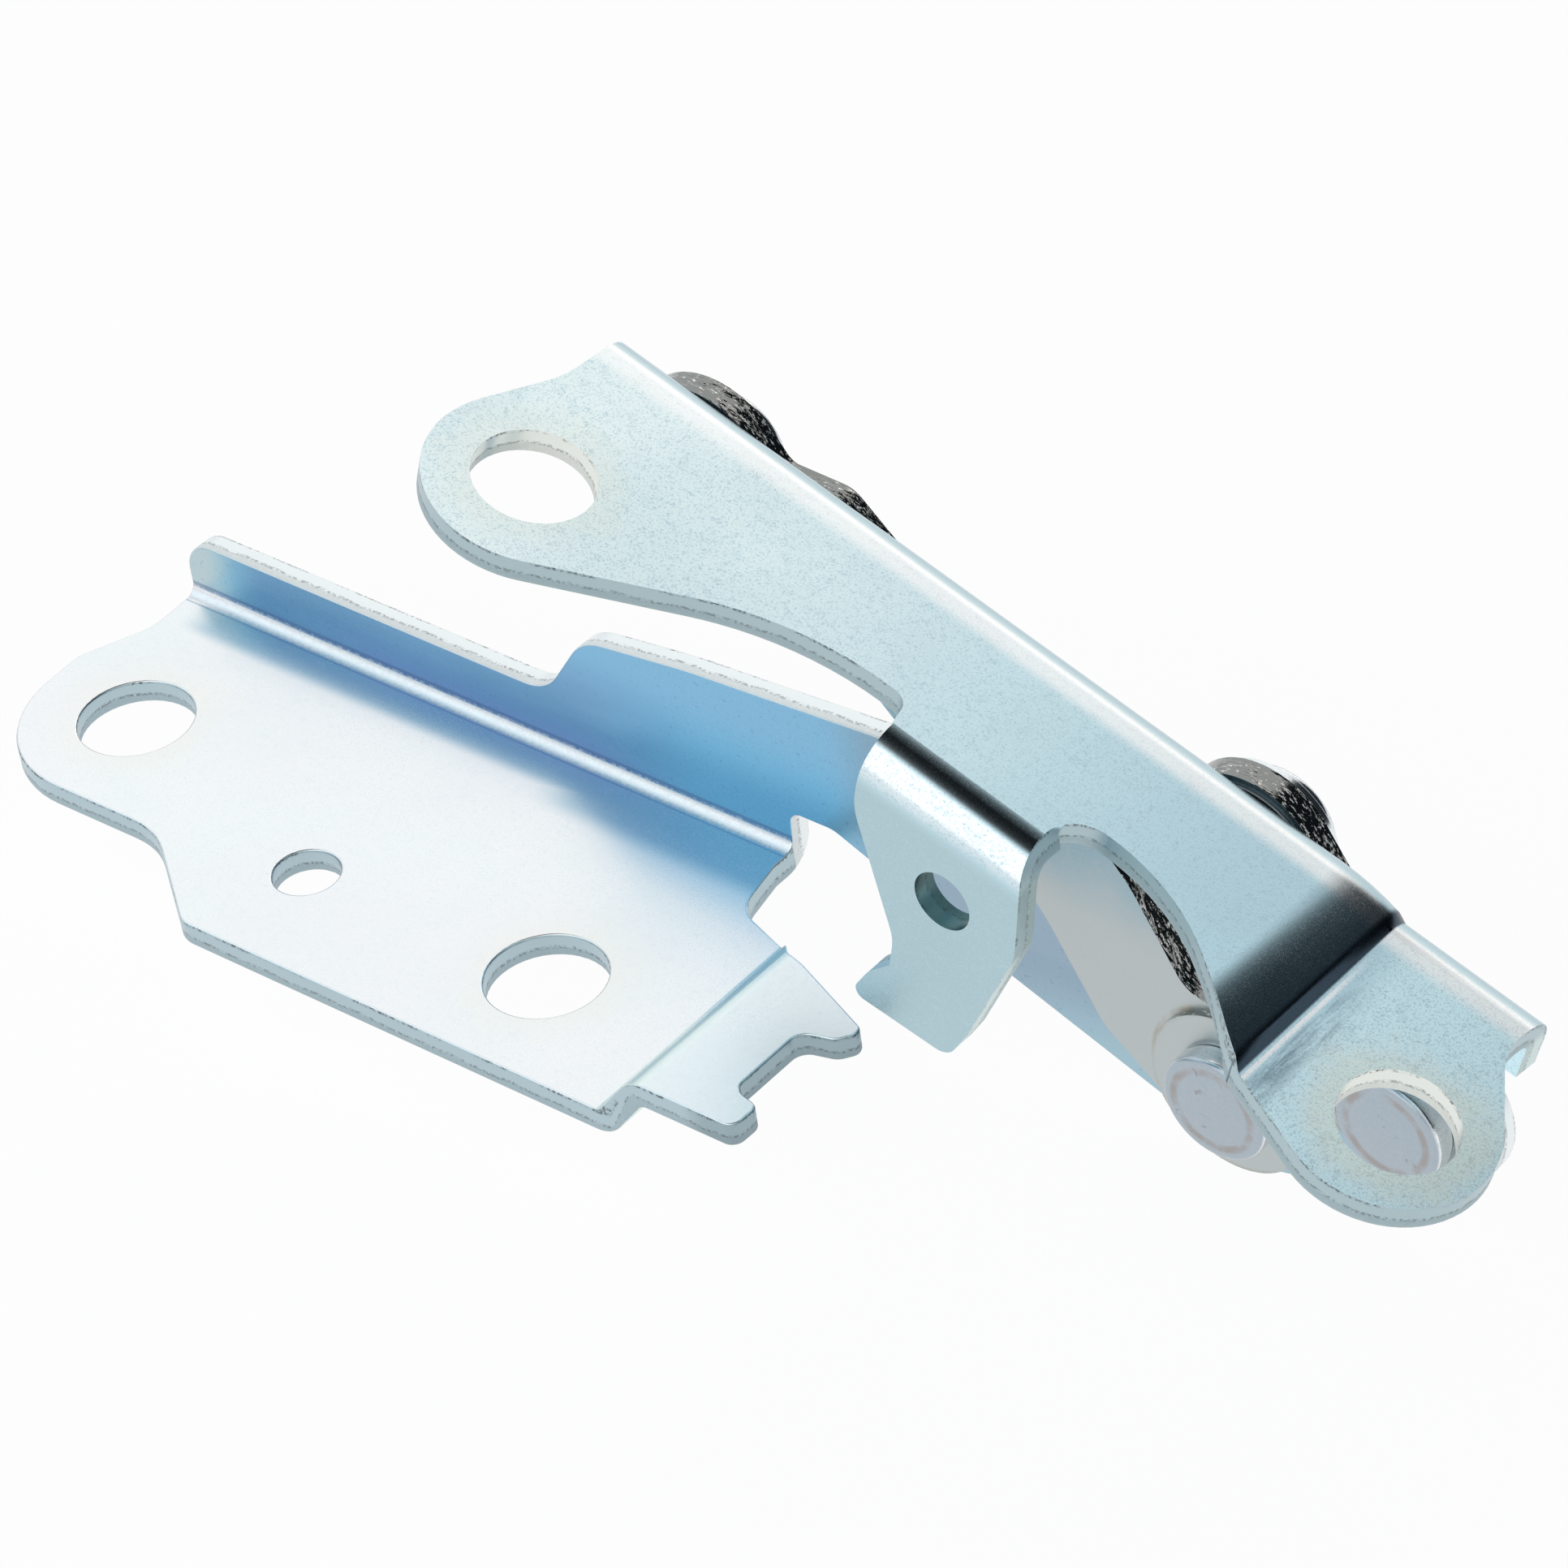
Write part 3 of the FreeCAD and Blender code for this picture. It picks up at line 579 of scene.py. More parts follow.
def plain_plate(name, groups, clear, bloom, amount, roughness):
    """Plain plated piece with its frosting."""
    material, nodes, place, shader = start_material(name)
    surface = frost(nodes, groups, place, rgba(clear), bloom, amount, roughness)
    finish_surface(nodes, shader, surface, RELIEF["plain"])
    return material


def base_tint(nodes, place, sheet, on_top):
    """Pale plate of the base, with a painted reflection of the blue flange beside the fold, and
    greener on the step to the end tab.
    """
    x, y, _ = nodes.split(place)
    clouds = nodes.ramp(nodes.noise(place, 55.0), 0.38, 0.62)
    tint = nodes.mix(clouds, rgba(sheet.base), rgba(TINTS["base clouds"]))
    tint = blend(nodes, nodes.ramp(x, 58 * MM, 63 * MM), tint, TINTS["end tab"])
    # Painted reflection of the blue flange on the base, beside the fold and reaching further out
    # towards the rear
    rear = nodes.times(nodes.ramp(y, 16.5 * MM, 20 * MM), nodes.ramp(x, 12 * MM, 20 * MM))
    flange_reflection = nodes.math("MAXIMUM", nodes.ramp(y, 19.8 * MM, 22 * MM), rear)
    flange_reflection = nodes.times(flange_reflection, nodes.ramp(x, -46 * MM, -40 * MM))
    tint = blend(nodes, nodes.times(flange_reflection, on_top), tint, TINTS["beside the fold"])
    step = nodes.band(x, (55 * MM, 56.5 * MM), (61 * MM, 64 * MM))
    return blend(nodes, step, tint, TINTS["base step"])


def flange_film(nodes, place, sheet, inside):
    """Film on the upright flange and its arm; the mask inside leaves out their far side."""
    x, _, z = nodes.split(place)
    stretched = nodes.add("ShaderNodeMapping", {"Vector": place, "Scale": (0.4, 1.0, 2.5)})
    streaks = nodes.ramp(nodes.noise(stretched.outputs[0], 70.0, 0.6, 4.0), 0.36, 0.66)
    film = nodes.mix(streaks, rgba(sheet.blue), rgba(TINTS["film streaks"]))
    film = blend(nodes, nodes.ramp(x, 14 * MM, 38 * MM), film, TINTS["film rear"])
    film = blend(nodes, nodes.ramp(z, 12 * MM, 20 * MM), film, TINTS["film top"])
    middle = nodes.times(nodes.ramp(x, -30 * MM, -14 * MM), nodes.fall(x, 12 * MM, 30 * MM))
    low_middle = nodes.times(nodes.fall(z, 5 * MM, 9 * MM), middle)
    film = blend(nodes, low_middle, film, sheet.violet, 0.8)
    film = blend(nodes, nodes.fall(x, -43 * MM, -34 * MM), film, sheet.cyan)
    film = blend(nodes, nodes.fall(x, -45 * MM, -39 * MM), film, TINTS["film front end"])
    # Painted shade: a thin dark line along the crease at the foot of the flange
    crease_shade = nodes.times(nodes.fall(z, 4.75 * MM, 4.95 * MM), inside)
    film = blend(nodes, crease_shade, film, TINTS["fold line"], 0.55)
    below = nodes.minus(nodes.times(x, 0.12), z)
    on_arm = nodes.mix(nodes.ramp(below, 8 * MM, 18 * MM), rgba(sheet.lilac),
                       rgba(TINTS["arm low"]))
    film = nodes.mix(nodes.ramp(x, 52 * MM, 62 * MM), film, on_arm)
    specks = nodes.ramp(nodes.noise(place, 1500.0, 0.7), 0.60, 0.70)
    return blend(nodes, specks, film, TINTS["film specks"], 0.35)


def base_sheet(name, groups, sheet):
    """Faces of the lower bracket: pale base, coloured film on the flange and its arm."""
    material, nodes, place, shader = start_material(name)
    x, y, z = nodes.split(place)
    flange_y = flange_face_y(sheet)
    on_top = nodes.fall(z, 3.05 * MM, 3.4 * MM)
    inside = nodes.math("LESS_THAN", y, flange_y + 0.2 * MM)
    tint = base_tint(nodes, place, sheet, on_top)
    colour, roughness, height = frost(nodes, groups, place, tint, TINTS["base bloom"], 0.36, 0.27)
    for mount in BODY_HOLES:
        stain = halo(nodes, groups, place, mount, (6 * MM, 14 * MM))
        colour = blend(nodes, stain, colour, TINTS["body hole stain"], 0.5)
    on_flange = nodes.ramp(y, flange_y - 0.10 * MM, flange_y - 0.02 * MM)
    film = flange_film(nodes, place, sheet, inside)
    colour = nodes.mix(nodes.times(on_flange, 0.96), colour, film)
    # Painted shade: a dark line on the base along the foot of the fold's fillet
    foot = nodes.band(y, (24.75 * MM, 24.85 * MM), (25.0 * MM, 25.1 * MM))
    colour = blend(nodes, nodes.times(foot, on_top), colour, TINTS["fillet foot"], 0.6)
    in_fold = nodes.times(nodes.ramp(y, 25.0 * MM, 25.2 * MM),
                          nodes.band(z, (2.95 * MM, 3.0 * MM), (4.3 * MM, 4.5 * MM)))
    in_fold = nodes.times(in_fold, nodes.math("LESS_THAN", x, 54 * MM))
    in_fold = nodes.times(in_fold, inside)
    pressed = nodes.ramp(nodes.noise(place, 1900.0, 0.7), 0.42, 0.60)
    colour = blend(nodes, nodes.times(in_fold, pressed), colour, TINTS["fillet"], 0.5)
    bowed = nodes.add("ShaderNodeMath", {0: y, 1: 9 * MM, 2: 10 * MM}, operation="SMOOTH_MAX")
    camber = nodes.times(bowed.outputs[0], math.tan(BASE_CAMBER) / RELIEF["base"])
    surface = (colour, roughness, nodes.math("ADD", height, camber))
    finish_surface(nodes, shader, surface, RELIEF["base"])
    return material


def hood_lines(nodes, place, sheet):
    """Distance along the upper bracket from its rear pivot, and height over its plate."""
    mounts = [mount_of(name) for name in HOOD_HOLES]
    up = Vector(mounts[0]["axis"])
    run = Vector((up.z, 0, -up.x)).normalized()
    from_pivot = nodes.vector("SUBTRACT", place, centre_of("rear_upper_rivet"))[0]
    along = nodes.dot(from_pivot, run)
    heights = []
    for mount in mounts:
        up = Vector(mount["axis"])
        top = Vector(mount["pos_m"]) + up * sheet.thickness / 2
        heights.append(nodes.dot(nodes.vector("SUBTRACT", place, top)[0], up))
    share = nodes.ramp(along, 11 * MM, 19 * MM)
    drop = nodes.times(nodes.minus(heights[1], heights[0]), share)
    return along, nodes.math("ADD", heights[0], drop)


def hood_tint(nodes, y, along, down, sheet, on_bend):
    """Plate of the upper bracket, darker towards its rear and on its tab, with a painted highlight
    on the bend down to the tab.
    """
    tint = nodes.mix(nodes.ramp(along, -80 * MM, 12 * MM), rgba(sheet.plate),
                     rgba(TINTS["plate rear"]))
    tint = blend(nodes, nodes.ramp(along, 19.5 * MM, 24 * MM), tint, TINTS["pad"])
    on_tab = nodes.times(nodes.ramp(down, 3.2 * MM, 6 * MM), nodes.fall(y, -4.4 * MM, -2.4 * MM))
    tint = blend(nodes, on_tab, tint, TINTS["tab"], 0.95)
    # Painted highlight across the bend down to the side tab
    bright = nodes.times(nodes.band(down, (0.9 * MM, 1.3 * MM), (2.6 * MM, 4.8 * MM)), on_bend)
    return blend(nodes, bright, tint, TINTS["tab bend light"], 0.9)


def hood_sheet(name, groups, sheet):
    """Faces of the upper bracket, with painted highlights and painted dark reflections along its
    bends and at the step to its pad, and painted shade on the pad.
    """
    material, nodes, place, shader = start_material(name)
    along, height = hood_lines(nodes, place, sheet)
    down = nodes.times(height, -1.0)
    y = nodes.split(place)[1]
    outer_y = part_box("upper_bracket")[1].y
    on_bend = nodes.times(nodes.math("LESS_THAN", y, -0.3 * MM),
                          nodes.math("LESS_THAN", along, TAB_SPAN[1]))
    tint = hood_tint(nodes, y, along, down, sheet, on_bend)
    colour, roughness, grain = frost(nodes, groups, place, tint, sheet.bloom, 0.78, 0.24)
    on_top = nodes.fall(down, 2.6 * MM, 3.4 * MM)
    # Painted highlight along the far bend, and a painted darker reflection on its rim beyond
    bright = nodes.times(nodes.ramp(y, outer_y - 7.0 * MM, outer_y - 5.0 * MM), on_top)
    colour = blend(nodes, bright, colour, TINTS["far bend light"], 0.75)
    rim = nodes.times(nodes.ramp(y, outer_y - 3.7 * MM, outer_y - 2.7 * MM), on_top)
    colour = blend(nodes, rim, colour, TINTS["far bend rim"], 0.95)
    for mount, strength in zip(HOOD_HOLES, (0.35, 0.6)):
        stain = halo(nodes, groups, place, mount, (7.2 * MM, 11.5 * MM))
        colour = blend(nodes, stain, colour, sheet.halo, strength)
    # Painted dark reflection on the steep step down to the pad
    step = nodes.band(along, (17.6 * MM, 18.4 * MM), (19.2 * MM, 19.5 * MM))
    colour = blend(nodes, step, colour, TINTS["pad step"], 0.97)
    # Painted dark reflection where the side tab starts to bend
    dark = nodes.times(nodes.band(down, (0.10 * MM, 0.30 * MM), (0.7 * MM, 1.1 * MM)), on_bend)
    colour = blend(nodes, dark, colour, TINTS["tab bend dark"], 0.9)
    # Painted highlight along the foot of that step
    foot = nodes.times(nodes.band(along, (19.6 * MM, 19.8 * MM), (20.0 * MM, 20.4 * MM)),
                       nodes.fall(y, 6 * MM, 16 * MM))
    colour = blend(nodes, foot, colour, TINTS["pad step foot"], 0.8)
    # Streaky painted shade on the pad just past the foot of the step
    across = nodes.add("ShaderNodeCombineXYZ", {0: along, 1: nodes.times(y, 0.12)})
    streaks = nodes.ramp(nodes.noise(across.outputs[0], 700.0, 0.7, 4.0), 0.36, 0.62)
    pad_shade = nodes.times(nodes.band(along, (20.2 * MM, 20.8 * MM), (20.8 * MM, 25 * MM)),
                        nodes.fall(y, 2 * MM, 14 * MM))
    colour = blend(nodes, nodes.times(pad_shade, streaks), colour, TINTS["pad scuff"], 0.8)
    finish_surface(nodes, shader, (colour, roughness, grain), RELIEF["hood"])
    return material


def link_sheet(name, groups, sheet, pivot):
    """Faces of a link, with painted bluish shade towards the top, and a thin stain round its
    raised lower eye.
    """
    material, nodes, place, shader = start_material(name)
    # Painted bluish shade towards the top of the link
    drift = nodes.times(nodes.noise(place, 60.0, 0.5), 16 * MM)
    level = nodes.math("ADD", nodes.split(place)[2], drift)
    tint = nodes.mix(nodes.ramp(level, 21 * MM, 33 * MM), rgba(sheet.link),
                     rgba(TINTS["link top"]))
    colour, roughness, height = frost(nodes, groups, place, tint, TINTS["link bloom"], 0.5, 0.36)
    stain = ring(nodes, groups, place, pivot, 10.3 * MM)
    colour = blend(nodes, stain, colour, TINTS["link eye stain"], 0.5)
    finish_surface(nodes, shader, (colour, roughness, height), RELIEF["plain"])
    return material


def cut_sheet(name, groups, sheet, lines):
    """Sheared edges of a bracket; lines gives their tint, and their depth with 1 at the top."""
    material, nodes, place, shader = start_material(name)
    tint, depth = lines(nodes, place, sheet)
    edge = nodes.group(groups["edge"], {
        "Vector": place, "Plate": tint, "Fleck": rgba(TINTS["cut flecks"]), "Amount": 0.9,
        "Depth": depth})
    surface = (edge["Color"], edge["Roughness"], edge["Height"])
    finish_surface(nodes, shader, surface, RELIEF["cut"], metallic=0.95)
    return material


def base_cut_lines(nodes, place, sheet):
    """Tint and depth on the lower bracket; the flange's cut edges, its sheared top among them, are
    lighter as a painted highlight.
    """
    x, y, z = nodes.split(place)
    flange_y = flange_face_y(sheet)
    raised = nodes.times(nodes.ramp(x, 57 * MM, 62 * MM), END_TAB_RISE)
    in_base = nodes.math("DIVIDE", nodes.minus(z, raised), sheet.thickness)
    in_flange = nodes.math("DIVIDE", nodes.minus(y, flange_y), sheet.thickness)
    share = nodes.ramp(y, flange_y - 0.2 * MM, flange_y)
    depth = nodes.math("ADD", nodes.times(in_flange, share),
                       nodes.times(in_base, nodes.minus(1.0, share)))
    tint = nodes.mix(nodes.ramp(x, 68 * MM, 72 * MM), rgba(TINTS["base cut"]),
                     rgba(TINTS["end tab cut"]))
    # Painted highlight: the flange's cut edges are made lighter than the others
    return nodes.mix(share, tint, rgba(TINTS["flange cut"])), depth


def hood_cut_lines(nodes, place, sheet):
    """Tint and depth on the upper bracket; the walls of the hood holes are paler and warmer."""
    y = nodes.split(place)[1]
    along, height = hood_lines(nodes, place, sheet)
    down = nodes.times(height, -1.0)
    tab_hole = mount_of("side_tab_hole")["pos_m"]
    tab_y = tab_hole[1] - sheet.thickness / 2
    flange_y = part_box("upper_bracket")[1].y
    on_tab = nodes.times(nodes.math("GREATER_THAN", along, TAB_SPAN[0]),
                         nodes.math("LESS_THAN", along, TAB_SPAN[1]))
    past_tab = nodes.times(nodes.minus(tab_y + BEND_RADIUS, y), on_tab)
    past_flange = nodes.minus(y, flange_y - BEND_RADIUS)
    aside = nodes.math("MAXIMUM", nodes.math("MAXIMUM", past_tab, past_flange), 0.0)
    above = nodes.math("MAXIMUM", nodes.minus(BEND_RADIUS, down), 0.0)
    corner = nodes.math("SQRT", nodes.math("ADD", nodes.times(aside, aside),
                                           nodes.times(above, above)))
    under = nodes.minus(BEND_RADIUS, corner)
    depth = nodes.minus(1.0, nodes.math("DIVIDE", under, sheet.thickness))
    tint = nodes.mix(nodes.ramp(down, 2.2 * MM, 4.6 * MM), rgba(sheet.cut),
                     rgba(TINTS["low cut"]))
    in_tab_hole = nodes.fall(nodes.distance(place, tab_hole), 4.2 * MM, 4.8 * MM)
    tint = nodes.mix(in_tab_hole, tint, rgba(TINTS["tab hole wall"]))
    for mount in HOOD_HOLES:
        away = nodes.distance(place, mount_of(mount)["pos_m"])
        near = nodes.fall(away, 7.2 * MM, 8.2 * MM)
        tint = nodes.mix(near, tint, rgba(TINTS["hood hole wall"]))
    return tint, depth


def torn_edge(name):
    """Torn edges of the links: rough facets, coloured as painted glints and painted dark
    reflections.
    """
    material, nodes, place, shader = start_material(name)
    across = nodes.add("ShaderNodeMapping", {"Vector": place, "Scale": (0.45, 1.3, 0.45)})
    facets = nodes.ramp(nodes.noise(across.outputs[0], 2300.0, 0.7), 0.55, 0.68)
    lumps = nodes.ramp(nodes.noise(across.outputs[0], 500.0, 0.6), 0.50, 0.66)
    height = nodes.math("ADD", nodes.times(facets, 0.5), nodes.times(lumps, 0.8))
    # Some facets are painted as glints, the rest as dark reflections
    tone = nodes.mix(facets, rgba(TINTS["torn dull"]), rgba(TINTS["torn bright"]))
    roughness = nodes.math("ADD", 0.12, nodes.times(facets, 0.10))
    finish_surface(nodes, shader, (tone, roughness, height), RELIEF["torn"])
    return material


def rivet_metal(name, groups, rivets, pivot, head_y):
    """Head with a brown stain in its pressed ring, and a painted highlight round its side."""
    material, nodes, place, shader = start_material(name)
    y = nodes.split(place)[1]
    # Painted highlight round the side of the head
    side = nodes.ramp(nodes.math("ABSOLUTE", nodes.minus(y, head_y)), 0.15 * MM, 0.5 * MM)
    tint = nodes.mix(side, rgba(rivets.face), rgba(TINTS["rivet side"]))
    colour, roughness, height = frost(nodes, groups, place, tint, TINTS["rivet bloom"], 0.5, 0.20)
    stain = ring(nodes, groups, place, pivot, rivets.mark_radius)
    colour = blend(nodes, stain, colour, rivets.stain, 0.6)
    scratches = nodes.ramp(nodes.noise(place, 620.0, 0.7, 4.0), 0.62, 0.68)
    colour = blend(nodes, scratches, colour, TINTS["rivet scratches"], 0.5)
    finish_surface(nodes, shader, (colour, roughness, height), RELIEF["rivet"])
    return material


def make_materials(sheet, rivets):
    """Every finish of the hinge, by name."""
    groups = {"bloom": plate_bloom_group(), "edge": sheared_edge_group(), "halo": halo_group(),
              "ring": ring_group()}
    made = {
        "base": base_sheet("Pale zinc with blue flange", groups, sheet),
        "plate": hood_sheet("Frosted zinc", groups, sheet),
        "front_link": link_sheet("Front link face", groups, sheet, centre_of("front_lower_rivet")),
        "rear_link": link_sheet("Rear link face", groups, sheet, centre_of("rear_lower_rivet")),
        "base_cut": cut_sheet("Cut edge of the base", groups, sheet, base_cut_lines),
        "plate_cut": cut_sheet("Cut edge of the plate", groups, sheet, hood_cut_lines),
        "torn": torn_edge("Torn link edge"),
        "washer": plain_plate("Washer steel", groups, TINTS["washer"], sheet.cut, 0.3, 0.16),
        "bush": plain_plate("Bush steel", groups, TINTS["bush"], TINTS["bush bloom"], 0.4, 0.4),
    }
    for pivot in PIVOTS:
        low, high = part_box(pivot + "_rivet")
        head_y = low.y if pivot.endswith("lower") else high.y
        made[pivot] = rivet_metal("Rivet " + pivot.replace("_", " "), groups, rivets,
                                  (low + high) / 2, head_y)
    return made


FINISHES = {}


def finishes():
    """The materials, made once."""
    if not FINISHES:
        scene = bpy.context.scene
        FINISHES.update(make_materials(scene.hinge_sheet, scene.hinge_rivets))
    return FINISHES


# Pieces


def merged_copy(node, name):
    """Joined-up copy of a node's mesh, with its flat faces cleaned of triangles."""
    pick(frame["nodes"][node])
    bpy.ops.object.duplicate()
    copy = bpy.context.object
    copy.name = name
    copy.parent = None
    copy.matrix_world = Matrix.Identity(4)
    bpy.ops.object.mode_set(mode="EDIT")
    bpy.ops.mesh.select_all(action="SELECT")
    bpy.ops.mesh.remove_doubles(threshold=0.002 * MM)
    bpy.ops.mesh.dissolve_limited(angle_limit=math.radians(0.5))
    bpy.ops.object.mode_set(mode="OBJECT")
    copy.data.materials.clear()
    return copy


def round_sharp_edges(obj, radius, angle=42):
    """Round every edge sharper than an angle."""
    pick(obj)
    bpy.ops.object.mode_set(mode="EDIT")
    bpy.ops.mesh.select_mode(type="EDGE")
    bpy.ops.mesh.select_all(action="DESELECT")
    bpy.ops.mesh.edges_select_sharp(sharpness=math.radians(angle))
    bpy.ops.mesh.bevel(offset=radius, segments=2, affect="EDGES", clamp_overlap=True)
    bpy.ops.object.mode_set(mode="OBJECT")


def is_thickness(length, sheet, share):
    """Whether a length is the sheet's thickness, give or take a share of it."""
    return abs(length - sheet.thickness) < share * sheet.thickness


def mark_cut_edges(obj, sheet):
    """Second material on faces that span the sheet's thickness, with no like face behind them."""
    mesh = obj.data
    mesh.calc_loop_triangles()
    places = [v.co.copy() for v in mesh.vertices]
    triangles = [tuple(t.vertices) for t in mesh.loop_triangles]
    tree = BVHTree.FromPolygons(places, triangles)
    votes = [0.0] * len(mesh.polygons)
    for triangle in mesh.loop_triangles:
        centre = sum((places[i] for i in triangle.vertices), Vector()) / 3
        _, normal, _, depth = tree.ray_cast(centre - triangle.normal * NEAR, -triangle.normal)
        opposite = normal is not None and normal.dot(triangle.normal) < -0.9
        is_face = opposite and is_thickness(depth, sheet, 0.3)
        votes[triangle.polygon_index] += triangle.area if is_face else -triangle.area
    for polygon in mesh.polygons:
        lengths = [(places[a] - places[b]).length for a, b in polygon.edge_keys]
        spans = any(is_thickness(length, sheet, 0.25) for length in lengths)
        sides = sum(is_thickness(length, sheet, 0.03) for length in lengths)
        strip = len(lengths) == 4 and sides >= 2
        polygon.material_index = 1 if strip or (spans and votes[polygon.index] <= 0) else 0


def mark_link_edges(obj):
    """Second material on every face of a link that stands along Y."""
    for polygon in obj.data.polygons:
        polygon.material_index = 1 if abs(polygon.normal.y) < 0.3 else 0


def dress_sheet(node, face, edge):
    """Rounded copy of a sheet part with its own finish on faces and cut edges."""
    sheet = bpy.context.scene.hinge_sheet
    piece = merged_copy(node, node + "_plated")
    piece.data.materials.append(finishes()[face])
    piece.data.materials.append(finishes()[edge])
    if edge == "torn":
        mark_link_edges(piece)
    else:
        mark_cut_edges(piece, sheet)
    round_sharp_edges(piece, sheet.rounding)
    even_shading(piece)
    settle(piece, node)


def round_rim(obj, level, radius, rounding):
    """In edit mode, round the circle of a given radius at a level."""
    pick_edges(obj, lambda co: abs(co.z - level) < NEAR and math.hypot(co.x, co.y) > radius - NEAR)
    bpy.ops.mesh.bevel(offset=rounding, segments=4, affect="EDGES")


def model_rivet(name, pivot, head_y, tail_y, rivets):
    """Rivet turned along Z with its head's face at zero, then laid along Y in its place."""
    way = 1 if tail_y > head_y else -1
    span = abs(tail_y - head_y) - rivets.tail_height
    deselect()
    bpy.ops.mesh.primitive_cylinder_add(vertices=96, radius=rivets.head_radius,
                                        depth=rivets.head_height,
                                        location=(0, 0, -rivets.head_height / 2))
    piece = bpy.context.object
    piece.name = name
    bpy.ops.object.transform_apply(location=True, rotation=False, scale=False)
    bpy.ops.object.mode_set(mode="EDIT")
    pick_faces(piece, lambda centre, normal: normal.z > 0.9)
    bpy.ops.mesh.inset(thickness=rivets.head_radius - rivets.mark_radius - HALF_MARK, depth=0)
    bpy.ops.mesh.inset(thickness=HALF_MARK, depth=-rivets.mark_depth)
    bpy.ops.mesh.inset(thickness=HALF_MARK, depth=rivets.mark_depth)
    bpy.ops.mesh.inset(thickness=rivets.mark_radius * 0.5, depth=MARK_CROWN)
    pick_faces(piece, lambda centre, normal: normal.z < -0.9)
    bpy.ops.mesh.inset(thickness=rivets.head_radius - rivets.shank_radius, depth=0)
    bpy.ops.mesh.extrude_region_move(
        TRANSFORM_OT_translate={"value": (0, 0, rivets.head_height - span)})
    bpy.ops.mesh.extrude_region_move(TRANSFORM_OT_translate={"value": (0, 0, 0)})
    grow = rivets.tail_radius / rivets.shank_radius
    bpy.ops.transform.resize(value=(grow, grow, 1.0))
    bpy.ops.mesh.extrude_region_move(
        TRANSFORM_OT_translate={"value": (0, 0, -rivets.tail_height)})
    bpy.ops.mesh.inset(thickness=rivets.tail_radius * 0.4, depth=0)
    round_rim(piece, 0.0, rivets.head_radius, rivets.rim)
    round_rim(piece, -span - rivets.tail_height, rivets.tail_radius, rivets.rim)
    bpy.ops.object.mode_set(mode="OBJECT")
    lay = Matrix.Translation((pivot.x, head_y, pivot.z)) @ Matrix.Rotation(
        math.radians(90 * way), 4, "X")
    piece.data.transform(lay)
    even_shading(piece)
    return piece


class HINGE_OT_sheets(bpy.types.Operator):
    """Dress the two brackets and the two links"""

    bl_idname = "hinge.sheets"
    bl_label = "Dress sheet parts"

    def execute(self, context):
        for node, (face, edge) in SHEETS.items():
            dress_sheet(node, face, edge)
        return {"FINISHED"}


class HINGE_OT_rivets(bpy.types.Operator):
    """Model the four rivets in place of the plain ones"""

    bl_idname = "hinge.rivets"
    bl_label = "Model rivets"

    def execute(self, context):
        rivets = context.scene.hinge_rivets
        for pivot in PIVOTS:
            node = pivot + "_rivet"
            low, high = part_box(node)
            ends = (low.y, high.y) if pivot.endswith("lower") else (high.y, low.y)
            piece = model_rivet(node + "_turned", centre_of(node), *ends, rivets)
            piece.data.materials.append(finishes()[pivot])
            settle(piece, node)
        return {"FINISHED"}


class HINGE_OT_washers(bpy.types.Operator):
    """Round and plate the washers and bushes"""

    bl_idname = "hinge.washers"
    bl_label = "Dress washers and bushes"

    def execute(self, context):
        for pivot in PIVOTS:
            for kind in ("washer", "bush"):
                node = pivot + "_" + kind
                piece = merged_copy(node, node + "_plated")
                piece.data.materials.append(finishes()[kind])
                round_sharp_edges(piece, SMALL_ROUNDING)
                even_shading(piece)
                settle(piece, node)
        return {"FINISHED"}


def make_floor(studio):
    """Wide pale floor that keeps the hinge's soft shadow."""
    level = CAD_BOX[0].z - studio.floor_gap
    deselect()
    bpy.ops.mesh.primitive_plane_add(size=FLOOR_SIZE, location=(FLOOR_X, 0, level))
    floor = bpy.context.object
    floor.name = "floor"
    material, nodes, _, shader = start_material("Pale floor")
    shader.inputs["Base Color"].default_value = rgba(studio.floor)
    shader.inputs["Roughness"].default_value = 0.9
    shader.inputs["Specular IOR Level"].default_value = 0.1
    path = nodes.add("ShaderNodeLightPath").outputs
    seen = nodes.math("MAXIMUM", path["Is Camera Ray"], path["Is Glossy Ray"])
    seen = nodes.math("MAXIMUM", seen, path["Is Transmission Ray"])
    glow = nodes.add("ShaderNodeEmission", {"Color": rgba(studio.floor), "Strength": 1.0})
    both = nodes.add("ShaderNodeMixShader", {0: nodes.times(seen, FLOOR_GLOW),
                                             1: shader.outputs[0], 2: glow.outputs[0]})
    output = next(n for n in nodes.tree.nodes if n.type == "OUTPUT_MATERIAL")
    nodes.tree.links.new(both.outputs[0], output.inputs["Surface"])
    floor.data.materials.append(material)


def make_surroundings(light):
    """Soft studio with bright and dark parts for the metal to reflect."""
    world = bpy.data.worlds.new("Studio")
    bpy.context.scene.world = world
    world.use_nodes = True
    tree = world.node_tree
    tree.nodes.clear()
    nodes = Nodes(tree)
    direction = nodes.add("ShaderNodeTexCoord").outputs["Generated"]
    patch = studio_patch_group()
    colour = rgba(TINTS["studio"])
    for aim, outer, inner, tint in PATCHES:
        colour = nodes.group(patch, {
            "Direction": direction, "Aim": Vector(aim).normalized(), "Outer": outer,
            "Inner": inner, "Tint": rgba(tint), "Around": colour})[0]
    background = nodes.add("ShaderNodeBackground", {"Color": colour, "Strength": light})
    nodes.add("ShaderNodeOutputWorld", {"Surface": background.outputs[0]})


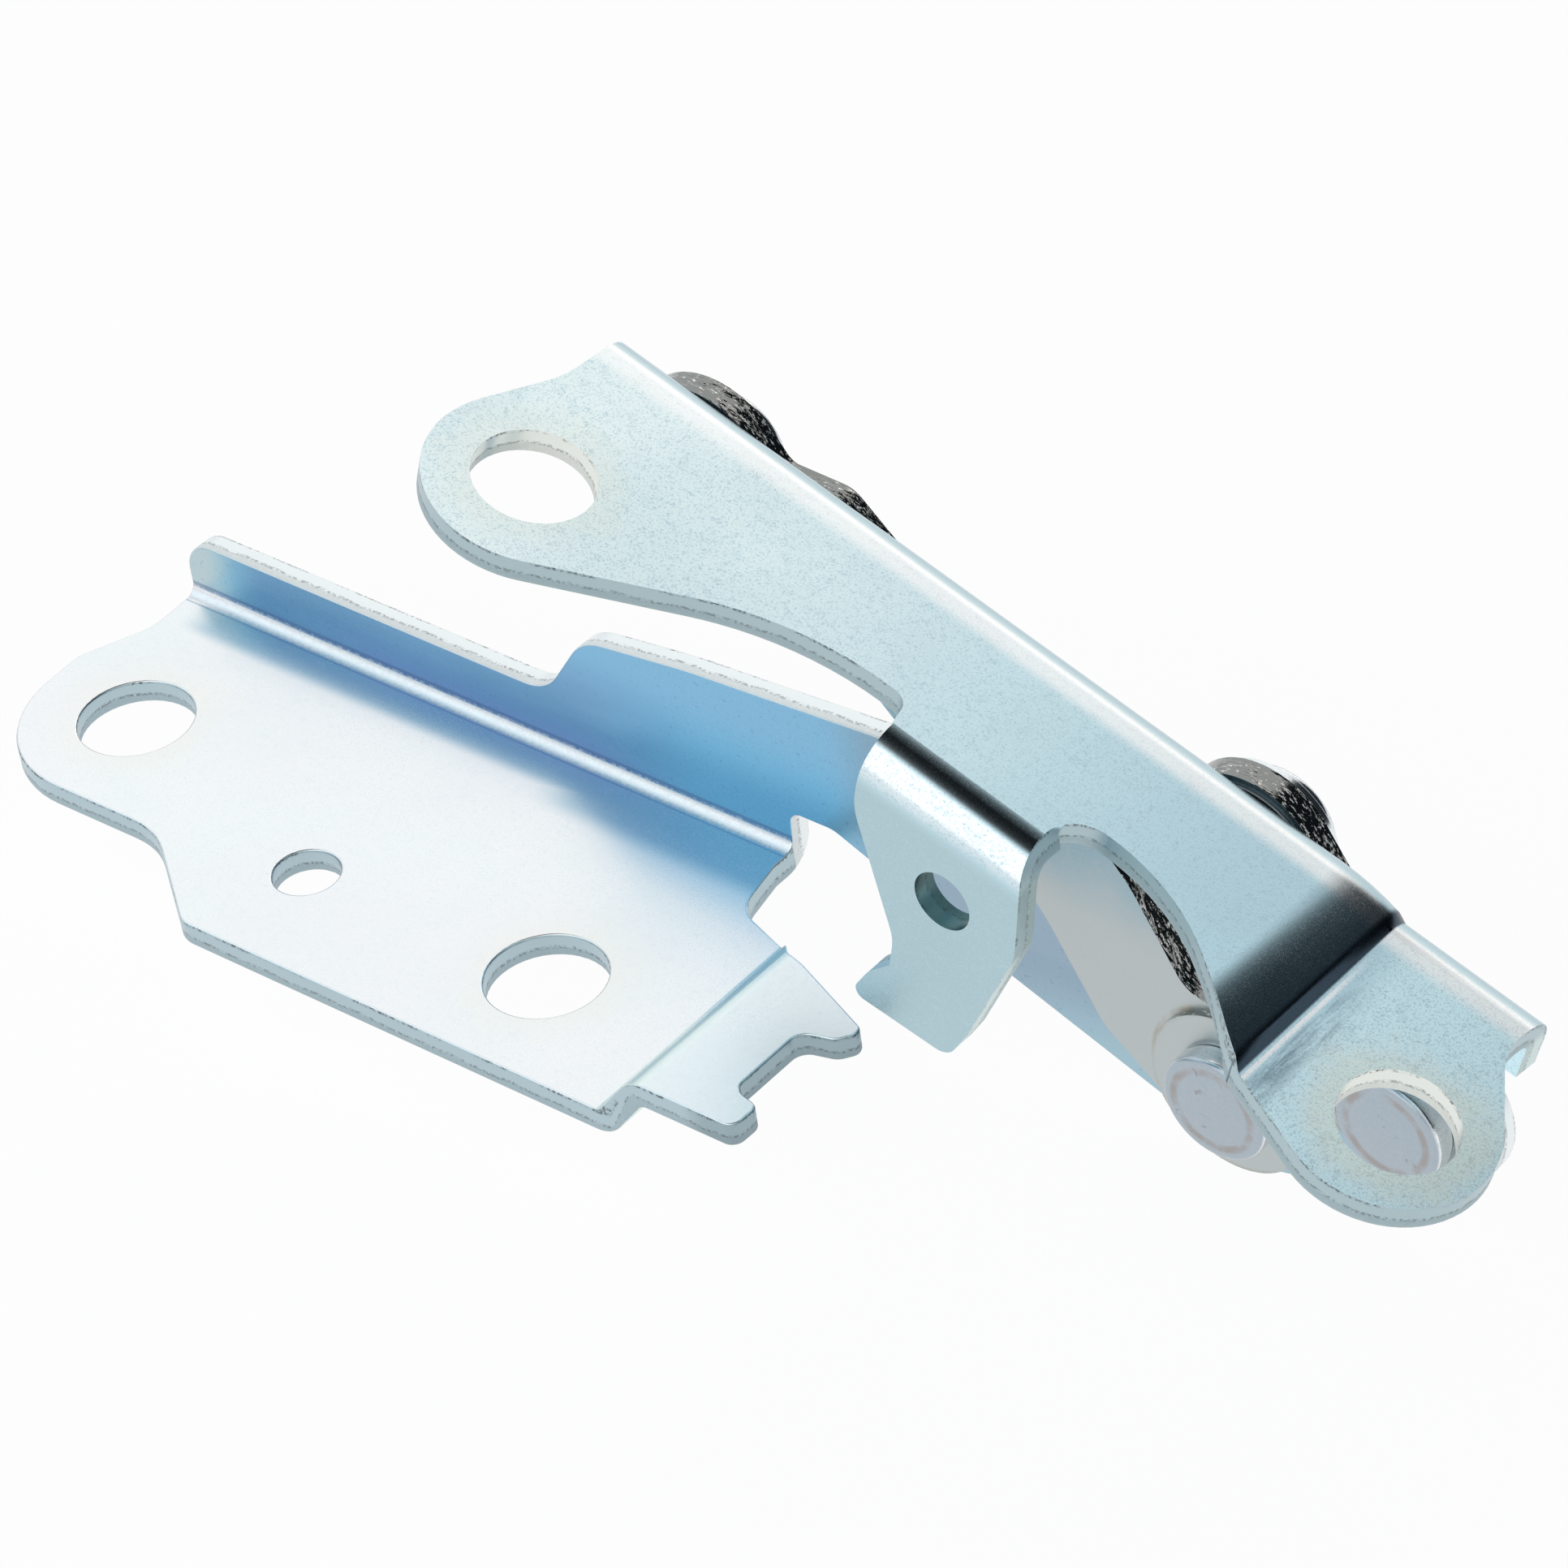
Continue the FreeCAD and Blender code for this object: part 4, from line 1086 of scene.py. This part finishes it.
def make_camera(studio):
    """Camera at the photograph's viewing angle."""
    a, e = studio.azimuth, studio.elevation
    back = Vector((math.sin(a) * math.cos(e), -math.cos(a) * math.cos(e), math.sin(e)))
    data = bpy.data.cameras.new("camera")
    data.lens = studio.lens
    data.sensor_width = SENSOR_WIDTH
    data.clip_start = CLIP_START
    camera = bpy.data.objects.new("camera", data)
    bpy.context.collection.objects.link(camera)
    camera.rotation_mode = "QUATERNION"
    look = (-back).to_track_quat("-Z", "Y").to_matrix().to_4x4()
    turn = look @ Matrix.Rotation(studio.roll, 4, "Z")
    camera.matrix_world = Matrix.Translation(Vector(studio.aim) + back * studio.distance) @ turn
    bpy.context.scene.camera = camera


class HINGE_OT_studio(bpy.types.Operator):
    """Make the floor, the light and the camera"""

    bl_idname = "hinge.studio"
    bl_label = "Build studio"

    def execute(self, context):
        studio = context.scene.hinge_studio
        make_floor(studio)
        make_surroundings(studio.light)
        make_camera(studio)
        context.scene.view_settings.view_transform = "Standard"
        return {"FINISHED"}


class HINGE_PT_panel(bpy.types.Panel):
    """Panel that lists the steps"""

    bl_idname = "HINGE_PT_panel"
    bl_label = "Hood Hinge"
    bl_space_type = "VIEW_3D"
    bl_region_type = "UI"
    bl_category = "Hood Hinge"

    def draw(self, context):
        for operator in OPERATORS:
            self.layout.operator(operator.bl_idname)


SETTINGS = {"hinge_sheet": SheetSettings, "hinge_rivets": RivetSettings,
            "hinge_studio": StudioSettings}
OPERATORS = (HINGE_OT_sheets, HINGE_OT_rivets, HINGE_OT_washers, HINGE_OT_studio)


def register():
    for cls in (*SETTINGS.values(), *OPERATORS, HINGE_PT_panel):
        bpy.utils.register_class(cls)
    for name, cls in SETTINGS.items():
        setattr(bpy.types.Scene, name, bpy.props.PointerProperty(type=cls))


def unregister():
    for name in SETTINGS:
        delattr(bpy.types.Scene, name)
    for cls in reversed((*SETTINGS.values(), *OPERATORS, HINGE_PT_panel)):
        bpy.utils.unregister_class(cls)


def main():
    register()
    bpy.ops.hinge.sheets()
    bpy.ops.hinge.rivets()
    bpy.ops.hinge.washers()
    bpy.ops.hinge.studio()


if __name__ == "__main__":
    main()
